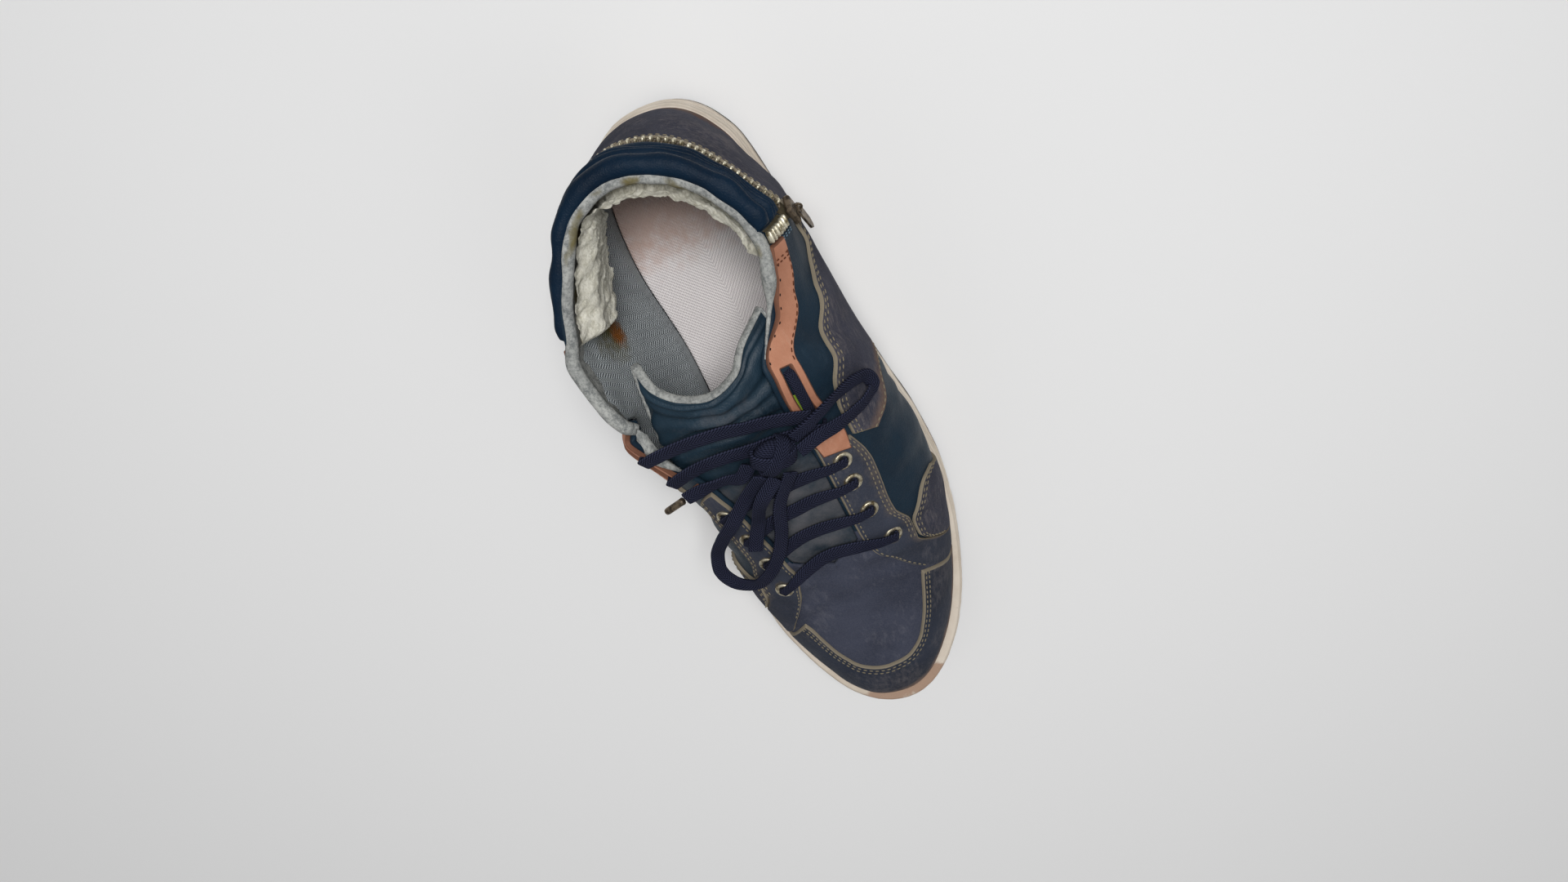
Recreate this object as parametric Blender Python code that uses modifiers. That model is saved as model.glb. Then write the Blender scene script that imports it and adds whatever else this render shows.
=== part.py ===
"""Worn out sneaker, left foot: mid-height, laced, with a zip round the heel.

Metres, +X to the toe, +Y to the wearer's left (the outer side), +Z up.  The
origin is on the floor, at the middle of the heel's flat spot.

The form is a last.  A turn runs round it: 0 is the back of the heel, positive
turns go forward along the outer side, negative ones along the inner side, and
1 and -1 are both the toe tip.  A climb runs up it: 0 is the feather line, where
the upper meets the rubber wall, and 1 is the rim of the collar or the ridge of
the instep.  Every piece of the upper is made on this one form.
"""
import math
from collections import namedtuple

import bmesh
import bpy
import numpy as np
from mathutils import Matrix, Vector

# Driving dimensions
LENGTH = 0.301             # sole, heel to toe
BALL_WIDTH = 0.106         # sole, across the ball
COLLAR_HEIGHT = 0.1115     # rim of the collar at the heel
HEEL_SET = 0.0402          # back of the sole behind the origin
HEEL_WALL = 0.0296         # top of the rubber wall at the heel
FORE_WALL = 0.0242         # top of the rubber wall at the forefoot, without spring
TOE_SPRING = 0.0135        # lift of the sole at the toe tip
ARCH_RISE = 0.0016         # lift of the sole under the arch
HEEL_BEVEL = 0.0012        # lift of the worn back edge
FEATHER_INSET = 0.0046     # the upper's foot, inside the sole's edge
TOE_LEDGE = 0.0032         # how much further the rubber juts out round the forefoot
UPPER_WALL = 0.0022
OVERLAY = 0.0012           # thickness of a nubuck or leather overlay
CLEARANCE = 0.0003         # between rubber, insole and other plain neighbours
SEAT = 0.0004              # between curved leather pieces
TRIM_SEAT = 0.0008         # under the narrow trims along the collar
OUTSOLE_THICKNESS = 0.0040
CUP_FLOOR_HEEL = 0.0140    # floor of the cup sole at the heel
CUP_FLOOR_FORE = 0.0100    # and at the forefoot, without spring
INSOLE_THICKNESS = 0.0040
TONGUE_THICKNESS = 0.0032
TONGUE_GAP = 0.0011        # between the upper's inner face and the tongue
TONGUE_CROWN = 0.0010      # the tongue's rise between the eyestays
CUFF_THICKNESS = 0.0040    # at the crown of a padded fold
CUFF_CREASE = 0.0016       # at the crease between folds
TAPE_THICKNESS = 0.0006
TOOTH_PITCH = 0.0028
TOOTH_HEIGHT = 0.0014
TEETH_WIDTH = 0.0048
TAPE_WIDTH = 0.0084
EYELET_RADIUS = 0.0031     # ring's middle line
EYELET_WIRE = 0.0009
LACE_WIDTH = 0.0072
LACE_THICKNESS = 0.0015
LACE_TUBE = 0.0044         # bow's loops and ends, as plain tubes
GROOVE_WIDTH = 0.0030      # flex grooves across the tread
GROOVE_DEPTH = 0.0016

# Where the sole changes, as shares of LENGTH from the heel
SPRING_FROM = 0.624
ARCH_FROM, ARCH_TO = 0.30, 0.49
WALL_FROM, WALL_TO = 0.07, 0.61
TOE_LEDGE_FROM = 0.54      # turn at which that starts
TOE_LEDGE_FULL = 0.82      # turn from which it is whole
GROOVES = (0.085, 0.125, 0.165, 0.56, 0.60, 0.64, 0.68, 0.72)

# Sole outline.  turn: round the sole.  side: share of BALL_WIDTH.
OUTER_EDGE = (
    (0.00, 0.000), (0.05, 0.120), (0.10, 0.215), (0.15, 0.287), (0.20, 0.340),
    (0.30, 0.381), (0.40, 0.412), (0.50, 0.465), (0.55, 0.499), (0.60, 0.509),
    (0.65, 0.483), (0.70, 0.436), (0.75, 0.375), (0.80, 0.300), (0.85, 0.211),
    (0.90, 0.118), (0.95, 0.028), (1.00, -0.067))
INNER_EDGE = (
    (0.00, 0.000), (0.05, -0.113), (0.10, -0.209), (0.15, -0.282), (0.20, -0.333),
    (0.30, -0.363), (0.40, -0.336), (0.50, -0.370), (0.55, -0.427), (0.60, -0.487),
    (0.65, -0.517), (0.70, -0.505), (0.75, -0.464), (0.80, -0.408), (0.85, -0.342),
    (0.90, -0.261), (0.95, -0.167), (1.00, -0.067))

# Sections of the last.  Each row is one profile from the feather line to the top.
# turn: place round the last.  reach, side, height: the profile's top end, as shares
# of LENGTH from the heel, BALL_WIDTH and COLLAR_HEIGHT.  lean: degrees the foot of
# the profile leans outwards.  foot: how far it keeps that lean, as a share of the
# chord.  rise: degrees above level at which it arrives.  head: how far it keeps
# that.  edge: the climb at which the upper is cut for the collar and throat.
Section = namedtuple("Section", "turn reach side height lean foot rise head edge")
OUTER_SECTIONS = (
    Section(0.00, 0.0622, -0.057, 1.000, -2, 0.34, 80, 0.34, 1.00),
    Section(0.10, 0.0799, 0.104, 1.000, 0, 0.34, 78, 0.34, 1.00),
    Section(0.20, 0.1332, 0.255, 0.996, 7, 0.36, 72, 0.34, 1.00),
    Section(0.27, 0.1964, 0.321, 0.987, 20, 0.40, 62, 0.34, 1.00),
    Section(0.33, 0.2467, 0.283, 0.996, 22, 0.42, 56, 0.32, 0.99),
    Section(0.39, 0.2901, 0.170, 1.022, 24, 0.44, 36, 0.34, 0.90),
    Section(0.45, 0.3463, -0.057, 1.058, 24, 0.44, 0, 0.40, 0.83),
    Section(0.50, 0.4194, -0.061, 0.955, 24, 0.44, 0, 0.42, 0.84),
    Section(0.55, 0.4953, -0.059, 0.857, 21, 0.44, 0, 0.44, 0.83),
    Section(0.60, 0.5723, -0.053, 0.767, 11, 0.44, 0, 0.46, 0.84),
    Section(0.64, 0.6364, -0.047, 0.697, 4, 0.44, 0, 0.46, 0.84),
    Section(0.67, 0.6789, -0.043, 0.653, 0, 0.44, 0, 0.46, 1.00),
    Section(0.70, 0.7154, -0.045, 0.615, -4, 0.43, 0, 0.46, 1.00),
    Section(0.80, 0.7844, -0.052, 0.549, -8, 0.36, 0, 0.46, 1.00),
    Section(0.90, 0.8249, -0.057, 0.517, -15, 0.28, 0, 0.50, 1.00),
    Section(1.00, 0.8417, -0.058, 0.504, -24, 0.23, 0, 0.50, 1.00))
INNER_SECTIONS = (
    Section(0.00, 0.0622, -0.057, 1.000, -2, 0.34, 80, 0.34, 1.00),
    Section(0.10, 0.0770, -0.212, 1.000, 2, 0.34, 84, 0.34, 1.00),
    Section(0.20, 0.1401, -0.354, 0.996, 7, 0.34, 86, 0.34, 1.00),
    Section(0.27, 0.2003, -0.443, 0.987, 12, 0.38, 92, 0.34, 1.00),
    Section(0.33, 0.2565, -0.472, 0.978, 14, 0.42, 90, 0.30, 1.00),
    Section(0.39, 0.3325, -0.434, 0.969, 18, 0.46, 84, 0.34, 0.99),
    Section(0.42, 0.3394, -0.415, 0.980, 20, 0.48, 76, 0.36, 0.95),
    Section(0.435, 0.3453, -0.240, 1.025, 21, 0.52, 30, 0.56, 0.83),
    Section(0.45, 0.3463, -0.057, 1.058, 22, 0.54, 0, 0.66, 0.675),
    Section(0.50, 0.4194, -0.061, 0.955, 20, 0.50, 0, 0.60, 0.70),
    Section(0.55, 0.4953, -0.059, 0.857, 14, 0.44, 0, 0.50, 0.75),
    Section(0.60, 0.5723, -0.053, 0.767, 8, 0.44, 0, 0.46, 0.79),
    Section(0.64, 0.6364, -0.047, 0.697, 2, 0.44, 0, 0.46, 0.81),
    Section(0.67, 0.6789, -0.043, 0.653, -3, 0.44, 0, 0.46, 1.00),
    Section(0.70, 0.7154, -0.045, 0.615, -7, 0.43, 0, 0.46, 1.00),
    Section(0.80, 0.7844, -0.052, 0.549, -10, 0.36, 0, 0.46, 1.00),
    Section(0.90, 0.8249, -0.057, 0.517, -15, 0.28, 0, 0.50, 1.00),
    Section(1.00, 0.8417, -0.058, 0.504, -24, 0.23, 0, 0.50, 1.00))
THROAT = 0.67              # turn at the throat's lowest point
BARS_BEHIND = 19           # stations a side from the heel to the throat
BARS_AHEAD = 8             # and from there to the toe
LEVELS = 8                 # rows of faces from the feather line to the top

# Overlays.  turn: place round the last.  low, high: the climbs of their two edges.
Band = namedtuple("Band", "turn low high")
ZIP_LINE = (
    Band(-0.270, 0.700, 0.700), Band(-0.240, 0.752, 0.752), Band(-0.200, 0.748, 0.748),
    Band(-0.150, 0.712, 0.712), Band(-0.100, 0.672, 0.672), Band(-0.050, 0.640, 0.640),
    Band(0.000, 0.625, 0.625), Band(0.050, 0.638, 0.638), Band(0.100, 0.668, 0.668),
    Band(0.150, 0.710, 0.710), Band(0.200, 0.750, 0.750), Band(0.235, 0.762, 0.762),
    Band(0.262, 0.735, 0.735), Band(0.272, 0.705, 0.705), Band(0.289, 0.625, 0.625))
TEETH_TO = 0.266           # turn at which the slider begins
TOE_GUARD = (
    Band(0.700, 0.02, 0.545), Band(0.770, 0.02, 0.550), Band(0.825, 0.02, 0.560),
    Band(0.893, 0.02, 0.630), Band(1.000, 0.02, 0.735), Band(1.095, 0.02, 0.688),
    Band(1.155, 0.02, 0.625), Band(1.215, 0.02, 0.594), Band(1.270, 0.02, 0.600),
    Band(1.288, 0.02, 0.585))
STRAP_OUTER = (
    Band(0.292, 0.02, 0.500), Band(0.323, 0.02, 0.500), Band(0.355, 0.02, 0.570),
    Band(0.385, 0.02, 0.615), Band(0.413, 0.02, 0.600), Band(0.440, 0.04, 0.585),
    Band(0.458, 0.26, 0.582), Band(0.485, 0.365, 0.640), Band(0.512, 0.430, 0.665),
    Band(0.538, 0.565, 0.665))
STRAP_INNER = (
    Band(0.292, 0.02, 0.500), Band(0.323, 0.02, 0.490), Band(0.355, 0.02, 0.480),
    Band(0.385, 0.02, 0.470), Band(0.413, 0.02, 0.460), Band(0.440, 0.04, 0.450),
    Band(0.458, 0.20, 0.450), Band(0.485, 0.29, 0.470), Band(0.512, 0.36, 0.510),
    Band(0.532, 0.46, 0.550))
PATCH_OUTER = (
    Band(0.588, 0.02, 0.310), Band(0.610, 0.02, 0.450), Band(0.636, 0.02, 0.530),
    Band(0.652, 0.02, 0.530), Band(0.657, 0.02, 0.470), Band(0.661, 0.02, 0.320),
    Band(0.664, 0.02, 0.120))
PATCH_INNER = (
    Band(0.590, 0.02, 0.290), Band(0.612, 0.02, 0.420), Band(0.636, 0.02, 0.500),
    Band(0.652, 0.02, 0.500), Band(0.657, 0.02, 0.440), Band(0.661, 0.02, 0.300),
    Band(0.665, 0.02, 0.120))
EYESTAY_OUTER = (
    Band(0.554, 0.665, 0.815), Band(0.565, 0.655, 0.820), Band(0.600, 0.655, 0.828),
    Band(0.617, 0.635, 0.825), Band(0.630, 0.560, 0.820), Band(0.640, 0.548, 0.815),
    Band(0.652, 0.548, 0.810), Band(0.658, 0.490, 0.800), Band(0.663, 0.320, 0.770),
    Band(0.668, 0.060, 0.735), Band(0.678, 0.02, 0.675), Band(0.690, 0.02, 0.530),
    Band(0.696, 0.02, 0.340))
EYESTAY_INNER = (
    Band(0.546, 0.590, 0.730), Band(0.565, 0.585, 0.755), Band(0.600, 0.600, 0.780),
    Band(0.617, 0.590, 0.788), Band(0.630, 0.535, 0.795), Band(0.640, 0.520, 0.798),
    Band(0.652, 0.520, 0.798), Band(0.658, 0.460, 0.790), Band(0.663, 0.320, 0.775),
    Band(0.669, 0.060, 0.755), Band(0.680, 0.02, 0.715), Band(0.694, 0.02, 0.600),
    Band(0.706, 0.02, 0.420))
TAN_OUTER = (
    Band(0.293, 0.860, 0.992), Band(0.308, 0.845, 0.990), Band(0.340, 0.825, 0.965),
    Band(0.367, 0.806, 0.930), Band(0.390, 0.770, 0.888), Band(0.420, 0.731, 0.850),
    Band(0.450, 0.719, 0.820), Band(0.485, 0.719, 0.828), Band(0.512, 0.722, 0.826),
    Band(0.530, 0.700, 0.822), Band(0.547, 0.700, 0.818))
TAN_INNER = (
    Band(0.290, 0.885, 0.992), Band(0.330, 0.875, 0.990), Band(0.360, 0.865, 0.985),
    Band(0.390, 0.850, 0.978), Band(0.420, 0.815, 0.935), Band(0.435, 0.700, 0.800),
    Band(0.450, 0.570, 0.664), Band(0.485, 0.580, 0.680), Band(0.510, 0.600, 0.700),
    Band(0.538, 0.620, 0.725))
TAN_SLOT = (0.460, 0.505)  # turns between which the strip is split round the lace

# Eyelets.  turn, climb: the centre of each ring.
Spot = namedtuple("Spot", "turn climb")
EYELETS_OUTER = (Spot(0.643, 0.680), Spot(0.610, 0.752), Spot(0.580, 0.765), Spot(0.556, 0.762))
EYELETS_INNER = (Spot(0.656, 0.690), Spot(0.627, 0.722), Spot(0.597, 0.722), Spot(0.567, 0.700))

# Tongue's top edge.  side: -1 inner corner to 1 outer corner.  reach, across,
# height: shares of LENGTH from the heel, BALL_WIDTH and COLLAR_HEIGHT.
TongueEdge = namedtuple("TongueEdge", "side reach across height")
TONGUE_EDGE = (
    TongueEdge(-1.00, 0.2713, -0.290, 0.985), TongueEdge(-0.70, 0.3000, -0.268, 1.020),
    TongueEdge(-0.35, 0.3296, -0.185, 1.052), TongueEdge(0.00, 0.3424, -0.075, 1.066),
    TongueEdge(0.35, 0.3305, 0.035, 1.056), TongueEdge(0.70, 0.3039, 0.100, 1.030),
    TongueEdge(1.00, 0.2822, 0.145, 0.995))
TONGUE_JOIN = 0.51         # turn from which the tongue follows the last
TONGUE_BASE = 0.70         # turn at which it is sewn under the vamp
TONGUE_SPREAD_OUTER, TONGUE_SPREAD_INNER = 0.66, 0.56

# Lace over the tongue: outer end, inner end, and lift in the middle in metres.
STRANDS = (
    (Spot(0.520, 0.745), Spot(0.503, 0.640), -0.00015),
    (Spot(0.500, 0.770), Spot(0.474, 0.655), -0.00015))

# Bow of the lace.  Points are metres from the knot, chosen along the photograph's
# loops: ahead, left, up.
LOOP_OUTER = ((-0.0030, 0.0095, 0.0002), (-0.0052, 0.0161, 0.0009), (-0.0079, 0.0248, -0.0014),
              (-0.0094, 0.0328, -0.0082), (-0.0093, 0.0392, -0.0142),
              (-0.0069, 0.0432, -0.0202), (-0.0027, 0.0439, -0.0222), (0.0005, 0.0397, -0.0182),
              (0.0017, 0.0336, -0.0132), (0.0016, 0.0265, -0.0065), (0.0014, 0.0183, -0.0024),
              (0.0030, 0.0093, -0.0002))
LOOP_INNER = ((0.0056, -0.0080, 0.0002), (0.0143, -0.0195, -0.0079), (0.0229, -0.0299, -0.0116),
              (0.0300, -0.0385, -0.0190), (0.0387, -0.0459, -0.0267),
              (0.0477, -0.0486, -0.0302), (0.0552, -0.0455, -0.0317),
              (0.0582, -0.0388, -0.0297), (0.0545, -0.0302, -0.0239),
              (0.0475, -0.0224, -0.0194), (0.0363, -0.0149, -0.0142),
              (0.0227, -0.0088, -0.0082), (0.0092, 0.0026, -0.0002))
END_SHORT = ((0.0088, -0.0034, -0.0002), (0.0150, -0.0120, -0.0022), (0.0287, -0.0216, -0.0134),
             (0.0389, -0.0280, -0.0168))
END_LONG = ((-0.0004, -0.0102, -0.0002), (0.0035, -0.0154, -0.0020), (0.0027, -0.0222, -0.0046),
            (0.0024, -0.0288, -0.0052), (0.0034, -0.0398, -0.0067))
LACE_TIP = ((0.00358, -0.04048, -0.00695), (0.00640, -0.05120, -0.01080))


def smooth_rows(places, rows, at):
    """Read a table as a smooth curve that never overshoots a row."""
    places, rows, at = (np.asarray(v, float) for v in (places, rows, at))
    step = np.diff(places)
    width = step.reshape((-1,) + (1,) * (rows.ndim - 1))
    rate = np.diff(rows, axis=0) / width
    slope = np.zeros_like(rows)
    slope[0], slope[-1] = rate[0], rate[-1]
    before, after = rate[:-1], rate[1:]
    same = before * after > 0
    near, far = 2 * width[1:] + width[:-1], width[1:] + 2 * width[:-1]
    mean = near / np.where(same, before, 1) + far / np.where(same, after, 1)
    slope[1:-1] = np.where(same, (near + far) / np.where(mean == 0, 1, mean), 0)
    i = np.clip(np.searchsorted(places, at, side="right") - 1, 0, len(step) - 1)
    h = step[i]
    u = (at - places[i]) / h
    if rows.ndim > 1:
        u, h = u[..., None], h[..., None]
    u2, u3 = u * u, u * u * u
    return (rows[i] * (2 * u3 - 3 * u2 + 1) + slope[i] * h * (u3 - 2 * u2 + u)
            + rows[i + 1] * (3 * u2 - 2 * u3) + slope[i + 1] * h * (u3 - u2))


def ring_table(outer, inner):
    """Join the outer and inner rows into one table that closes on itself."""
    outer, inner = np.array(outer, float), np.array(inner, float)
    back = inner[:0:-1].copy()
    back[:, 0] *= -1
    once = np.vstack([back, outer[:-1]])
    copies = []
    for shift in (-2, 0, 2):
        copy = once.copy()
        copy[:, 0] += shift
        copies.append(copy)
    return np.vstack(copies)


EDGE_RING = ring_table(OUTER_EDGE, INNER_EDGE)
SECTION_RING = ring_table(OUTER_SECTIONS, INNER_SECTIONS)


def wrap(turn):
    """Bring a turn into -1 to 1."""
    return (np.asarray(turn, float) + 1) % 2 - 1


def outline(turn, inset=0.0):
    """Plan of the sole's edge, moved inwards by inset."""
    turn = wrap(turn)

    def edge(at):
        at = wrap(at)
        x = LENGTH * (1 - np.cos(np.pi * at)) / 2 - HEEL_SET
        y = BALL_WIDTH * smooth_rows(EDGE_RING[:, 0], EDGE_RING[:, 1], at)
        return np.stack([x, y], -1)

    small = 0.004
    along = edge(turn + small) - edge(turn - small)
    out = np.stack([-along[..., 1], along[..., 0]], -1)
    out /= np.linalg.norm(out, axis=-1, keepdims=True)
    return edge(turn) - out * np.asarray(inset)[..., None], out


def share_along(x):
    """Distance from the heel as a share of LENGTH."""
    return (x + HEEL_SET) / LENGTH


def spring(x):
    """Lift of the sole towards the toe."""
    return TOE_SPRING * np.clip((share_along(x) - SPRING_FROM) / (1 - SPRING_FROM), 0, 1) ** 2


def sole_bottom(x):
    """Underside: flat at heel and forefoot, lifted at the arch, toe and back edge."""
    share = share_along(x)
    arch = np.clip((share - ARCH_FROM) / (ARCH_TO - ARCH_FROM), 0, 1)
    back = np.clip((0.04 - share) / 0.04, 0, 1)
    return spring(x) + ARCH_RISE * np.sin(np.pi * arch) ** 2 + HEEL_BEVEL * back ** 2


def ease(x):
    """Smooth step from the heel to the forefoot, 0 to 1."""
    s = np.clip((share_along(x) - WALL_FROM) / (WALL_TO - WALL_FROM), 0, 1)
    return s * s * (3 - 2 * s)


def wall_top(x):
    """Top of the rubber wall."""
    return HEEL_WALL + (FORE_WALL - HEEL_WALL) * ease(x) + spring(x)


def cup_floor(x):
    """Floor inside the cup sole."""
    return CUP_FLOOR_HEEL + (CUP_FLOOR_FORE - CUP_FLOOR_HEEL) * ease(x) + spring(x)


def feather(turn):
    """Inset of the upper's foot, which grows at the toe."""
    toe = (np.abs(wrap(turn)) - TOE_LEDGE_FROM) / (TOE_LEDGE_FULL - TOE_LEDGE_FROM)
    toe = np.clip(toe, 0, 1)
    return FEATHER_INSET + TOE_LEDGE * toe ** 2 * (3 - 2 * toe)


def last(turn, climb):
    """Point of the last: a cubic curve from the feather line to the section's top."""
    turn, climb = np.broadcast_arrays(np.asarray(turn, float), np.asarray(climb, float))
    plan, out = outline(turn, feather(turn))
    foot = np.concatenate([plan, wall_top(plan[..., 0])[..., None]], -1)
    row = smooth_rows(SECTION_RING[:, 0], SECTION_RING[:, 1:], wrap(turn))
    top = row[..., 0:3] * (LENGTH, BALL_WIDTH, COLLAR_HEIGHT) - (HEEL_SET, 0, 0)
    lean, rise = np.radians(row[..., 3]), np.radians(row[..., 5])
    chord = np.linalg.norm(top - foot, axis=-1)
    leave = np.stack([np.sin(lean) * out[..., 0], np.sin(lean) * out[..., 1], np.cos(lean)], -1)
    ridge = np.array([s for s in OUTER_SECTIONS if s.turn >= 0.45])
    ridge_x = ridge[:, 1] * LENGTH - HEEL_SET
    ridge_z = ridge[:, 3] * COLLAR_HEIGHT
    fall = np.interp(top[..., 0], (ridge_x[1:] + ridge_x[:-1]) / 2,
                     np.diff(ridge_z) / np.diff(ridge_x))
    arrive = np.stack([-np.cos(rise) * out[..., 0], -np.cos(rise) * out[..., 1],
                       np.sin(rise) - np.cos(rise) * out[..., 0] * fall], -1)
    first = foot + leave * (row[..., 4] * chord)[..., None]
    second = top - arrive * (row[..., 6] * chord)[..., None]
    c = climb[..., None]
    return ((1 - c) ** 3 * foot + 3 * (1 - c) ** 2 * c * first
            + 3 * (1 - c) * c ** 2 * second + c ** 3 * top)


def last_normal(turn, climb):
    """Outward direction of the last."""
    small = 0.003
    turn = np.asarray(turn, float)
    climb = np.clip(np.asarray(climb, float), small, 1 - small)
    along = last(turn + small, climb) - last(turn - small, climb)
    up = last(turn, climb + small) - last(turn, climb - small)
    normal = np.cross(up, along)
    return normal / np.linalg.norm(normal, axis=-1, keepdims=True)


def off_last(turn, climb, offset):
    """Point at a distance outside the last (inside where offset is negative)."""
    offset = np.asarray(offset, float)
    return last(turn, climb) + last_normal(turn, climb) * offset[..., None]


def edge_climb(turn):
    """Climb at which the upper is cut."""
    return np.minimum(smooth_rows(SECTION_RING[:, 0], SECTION_RING[:, 8], wrap(turn)), 1.0)


def side_stations():
    """Turns of the grid on one side, heel to toe, with one at the throat."""
    behind = np.linspace(0, THROAT, BARS_BEHIND + 1)
    ahead = np.linspace(THROAT, 1, BARS_AHEAD + 1)
    return np.r_[behind, ahead[1:]]


def ring_stations():
    """Turns of the grid all round, from -1 up to but not including 1."""
    side = side_stations()
    return np.r_[-side[:0:-1], side[:-1]]


STATIONS = ring_stations()
BARS = len(STATIONS) // 2


def facet_grid(offset):
    """Corner points of the upper's faces, moved outwards by offset."""
    shares = np.linspace(0, 1, LEVELS + 1)
    turn = np.repeat(STATIONS[:, None], LEVELS + 1, axis=1)
    grid = last(turn, edge_climb(STATIONS)[:, None] * shares[None, :])
    along = np.roll(grid, -1, axis=0) - np.roll(grid, 1, axis=0)
    normal = np.cross(np.gradient(grid, axis=1), along)
    return grid + normal / np.linalg.norm(normal, axis=-1, keepdims=True) * offset


def on_facets(turn, climb, grid):
    """Point on the upper's flat faces, so that an overlay lies parallel to them."""
    turn = wrap(turn)
    i = np.clip(np.searchsorted(STATIONS, turn, side="right") - 1, 0, len(STATIONS) - 1)
    nxt = (i + 1) % len(STATIONS)
    span = np.where(nxt == 0, 1.0, STATIONS[nxt]) - STATIONS[i]
    f = ((turn - STATIONS[i]) / span)[..., None]
    edges = edge_climb(STATIONS)
    cut = edges[i] * (1 - f[..., 0]) + edges[nxt] * f[..., 0]
    level = np.clip(climb / cut, 0, 1) * LEVELS
    j = np.clip(level.astype(int), 0, LEVELS - 1)
    g = (level - j)[..., None]
    here, there = grid[i, j], grid[nxt, j + 1]
    left = here * (1 - g) + grid[i, j + 1] * (g - f) + there * f
    right = here * (1 - f) + grid[nxt, j] * (f - g) + there * g
    return np.where(g >= f, left, right)


def material(name, colour, roughness, metallic=0.0):
    """Plain material of one part."""
    mat = bpy.data.materials.new(name)
    mat.use_nodes = True
    shader = mat.node_tree.nodes["Principled BSDF"]
    shader.inputs["Base Color"].default_value = (*colour, 1.0)
    shader.inputs["Roughness"].default_value = roughness
    shader.inputs["Metallic"].default_value = metallic
    return mat


def add_object(name, mesh, finish, parts):
    """Link a mesh to the part's collection under its node name."""
    obj = bpy.data.objects.new(name, mesh)
    mesh.materials.append(finish)
    parts.objects.link(obj)
    return obj


def add_mesh(name, points, faces, finish, parts, weld=1e-6):
    """Make an object from points and faces, with its seams welded."""
    mesh = bpy.data.meshes.new(name)
    mesh.from_pydata([tuple(p) for p in points], [], [tuple(f) for f in faces])
    shape = bmesh.new()
    shape.from_mesh(mesh)
    bmesh.ops.remove_doubles(shape, verts=shape.verts, dist=weld)
    bmesh.ops.dissolve_degenerate(shape, edges=shape.edges, dist=weld)
    shape.to_mesh(mesh)
    shape.free()
    mesh.shade_smooth()
    return add_object(name, mesh, finish, parts)


def solidify(obj, thickness, offset, weights=None):
    """Give an open sheet its wall; weights thin it from point to point."""
    wall = obj.modifiers.new("wall", "SOLIDIFY")
    wall.thickness = thickness
    wall.offset = offset
    if weights is not None:
        group = obj.vertex_groups.new(name="depth")
        for index, weight in enumerate(weights):
            group.add([index], float(weight), "REPLACE")
        wall.vertex_group = group.name
        wall.thickness_vertex_group = 0.0


def ladder_rungs(count):
    """Faces that close a ring of the sole, one rung from side to side per station."""
    half = count // 2
    faces = []
    for k in range(half):
        # station half is the heel (turn 0); station 0 is the toe
        right, left = (half - k) % count, (half + k) % count
        right_next, left_next = (half - k - 1) % count, (half + k + 1) % count
        corner = [right, left, left_next, right_next]
        faces.append(list(dict.fromkeys(corner)))
    return faces


def ringed_solid(name, rings, finish, parts):
    """Closed solid from rings of the same stations, first ring below, last above."""
    count = rings.shape[1]
    faces = []
    for r in range(len(rings) - 1):
        for k in range(count):
            n = (k + 1) % count
            faces.append((r * count + k, (r + 1) * count + k, (r + 1) * count + n, r * count + n))
    base = len(rings) * count - count
    for rung in ladder_rungs(count):
        faces.append(tuple(rung))
        faces.append(tuple(base + v for v in reversed(rung)))
    return add_mesh(name, rings.reshape(-1, 3), faces, finish, parts)


def sole_ring(inset, height):
    """One ring of the sole: the outline moved in, at a height worked out from x."""
    plan, _ = outline(STATIONS, np.broadcast_to(inset, STATIONS.shape))
    return np.concatenate([plan, height(plan[:, 0])[:, None]], -1)


def make_outsole(parts):
    """Grey tread layer, with flex grooves cut across it."""
    finish = material("outsole_rubber", (0.10, 0.10, 0.10), 0.8)
    rings = np.array([
        sole_ring(0.0016, sole_bottom),
        sole_ring(0.0006, lambda x: sole_bottom(x) + 0.0012),
        sole_ring(0.0004, lambda x: sole_bottom(x) + OUTSOLE_THICKNESS)])
    outsole = ringed_solid("outsole", rings, finish, parts)
    cut_grooves(outsole)
    return outsole


def cut_grooves(outsole):
    """Cut straight grooves through the tread from side to side."""
    bars = bmesh.new()
    for share in GROOVES:
        x = share * LENGTH - HEEL_SET
        place = Matrix.Translation((x, 0, float(sole_bottom(np.array(x)))))
        size = Matrix.Diagonal((GROOVE_WIDTH, BALL_WIDTH * 1.3, GROOVE_DEPTH * 2, 1))
        bmesh.ops.create_cube(bars, size=1, matrix=place @ size)
    mesh = bpy.data.meshes.new("groove_bars")
    bars.to_mesh(mesh)
    bars.free()
    cutter = bpy.data.objects.new("groove_bars", mesh)
    collection("cutters").objects.link(cutter)
    cutter.hide_render = True
    cutter.display_type = "WIRE"
    cut = outsole.modifiers.new("grooves", "BOOLEAN")
    cut.operation = "DIFFERENCE"
    cut.solver = "EXACT"
    cut.object = cutter


def make_midsole(parts):
    """Cream cup: side wall with its groove and bumper, and a floor inside."""
    def part_way(share):
        """Height at a share of the wall above the outsole."""
        def height(x):
            low = sole_bottom(x) + OUTSOLE_THICKNESS + CLEARANCE
            return low + (wall_top(x) - low) * share
        return height

    inside = feather(STATIONS) - CLEARANCE
    profile = (
        (0.0010, part_way(0.00)), (0.0002, part_way(0.07)), (0.0003, part_way(0.46)),
        (0.0013, part_way(0.50)), (0.0014, part_way(0.56)), (0.0009, part_way(0.60)),
        (0.0016, part_way(0.94)), (0.0023, part_way(1.00)), (inside, part_way(1.00)),
        (inside, cup_floor))
    rings = np.array([sole_ring(inset, height) for inset, height in profile])
    finish = material("midsole_rubber", (0.78, 0.71, 0.62), 0.6)
    return ringed_solid("midsole", rings, finish, parts)


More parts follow.
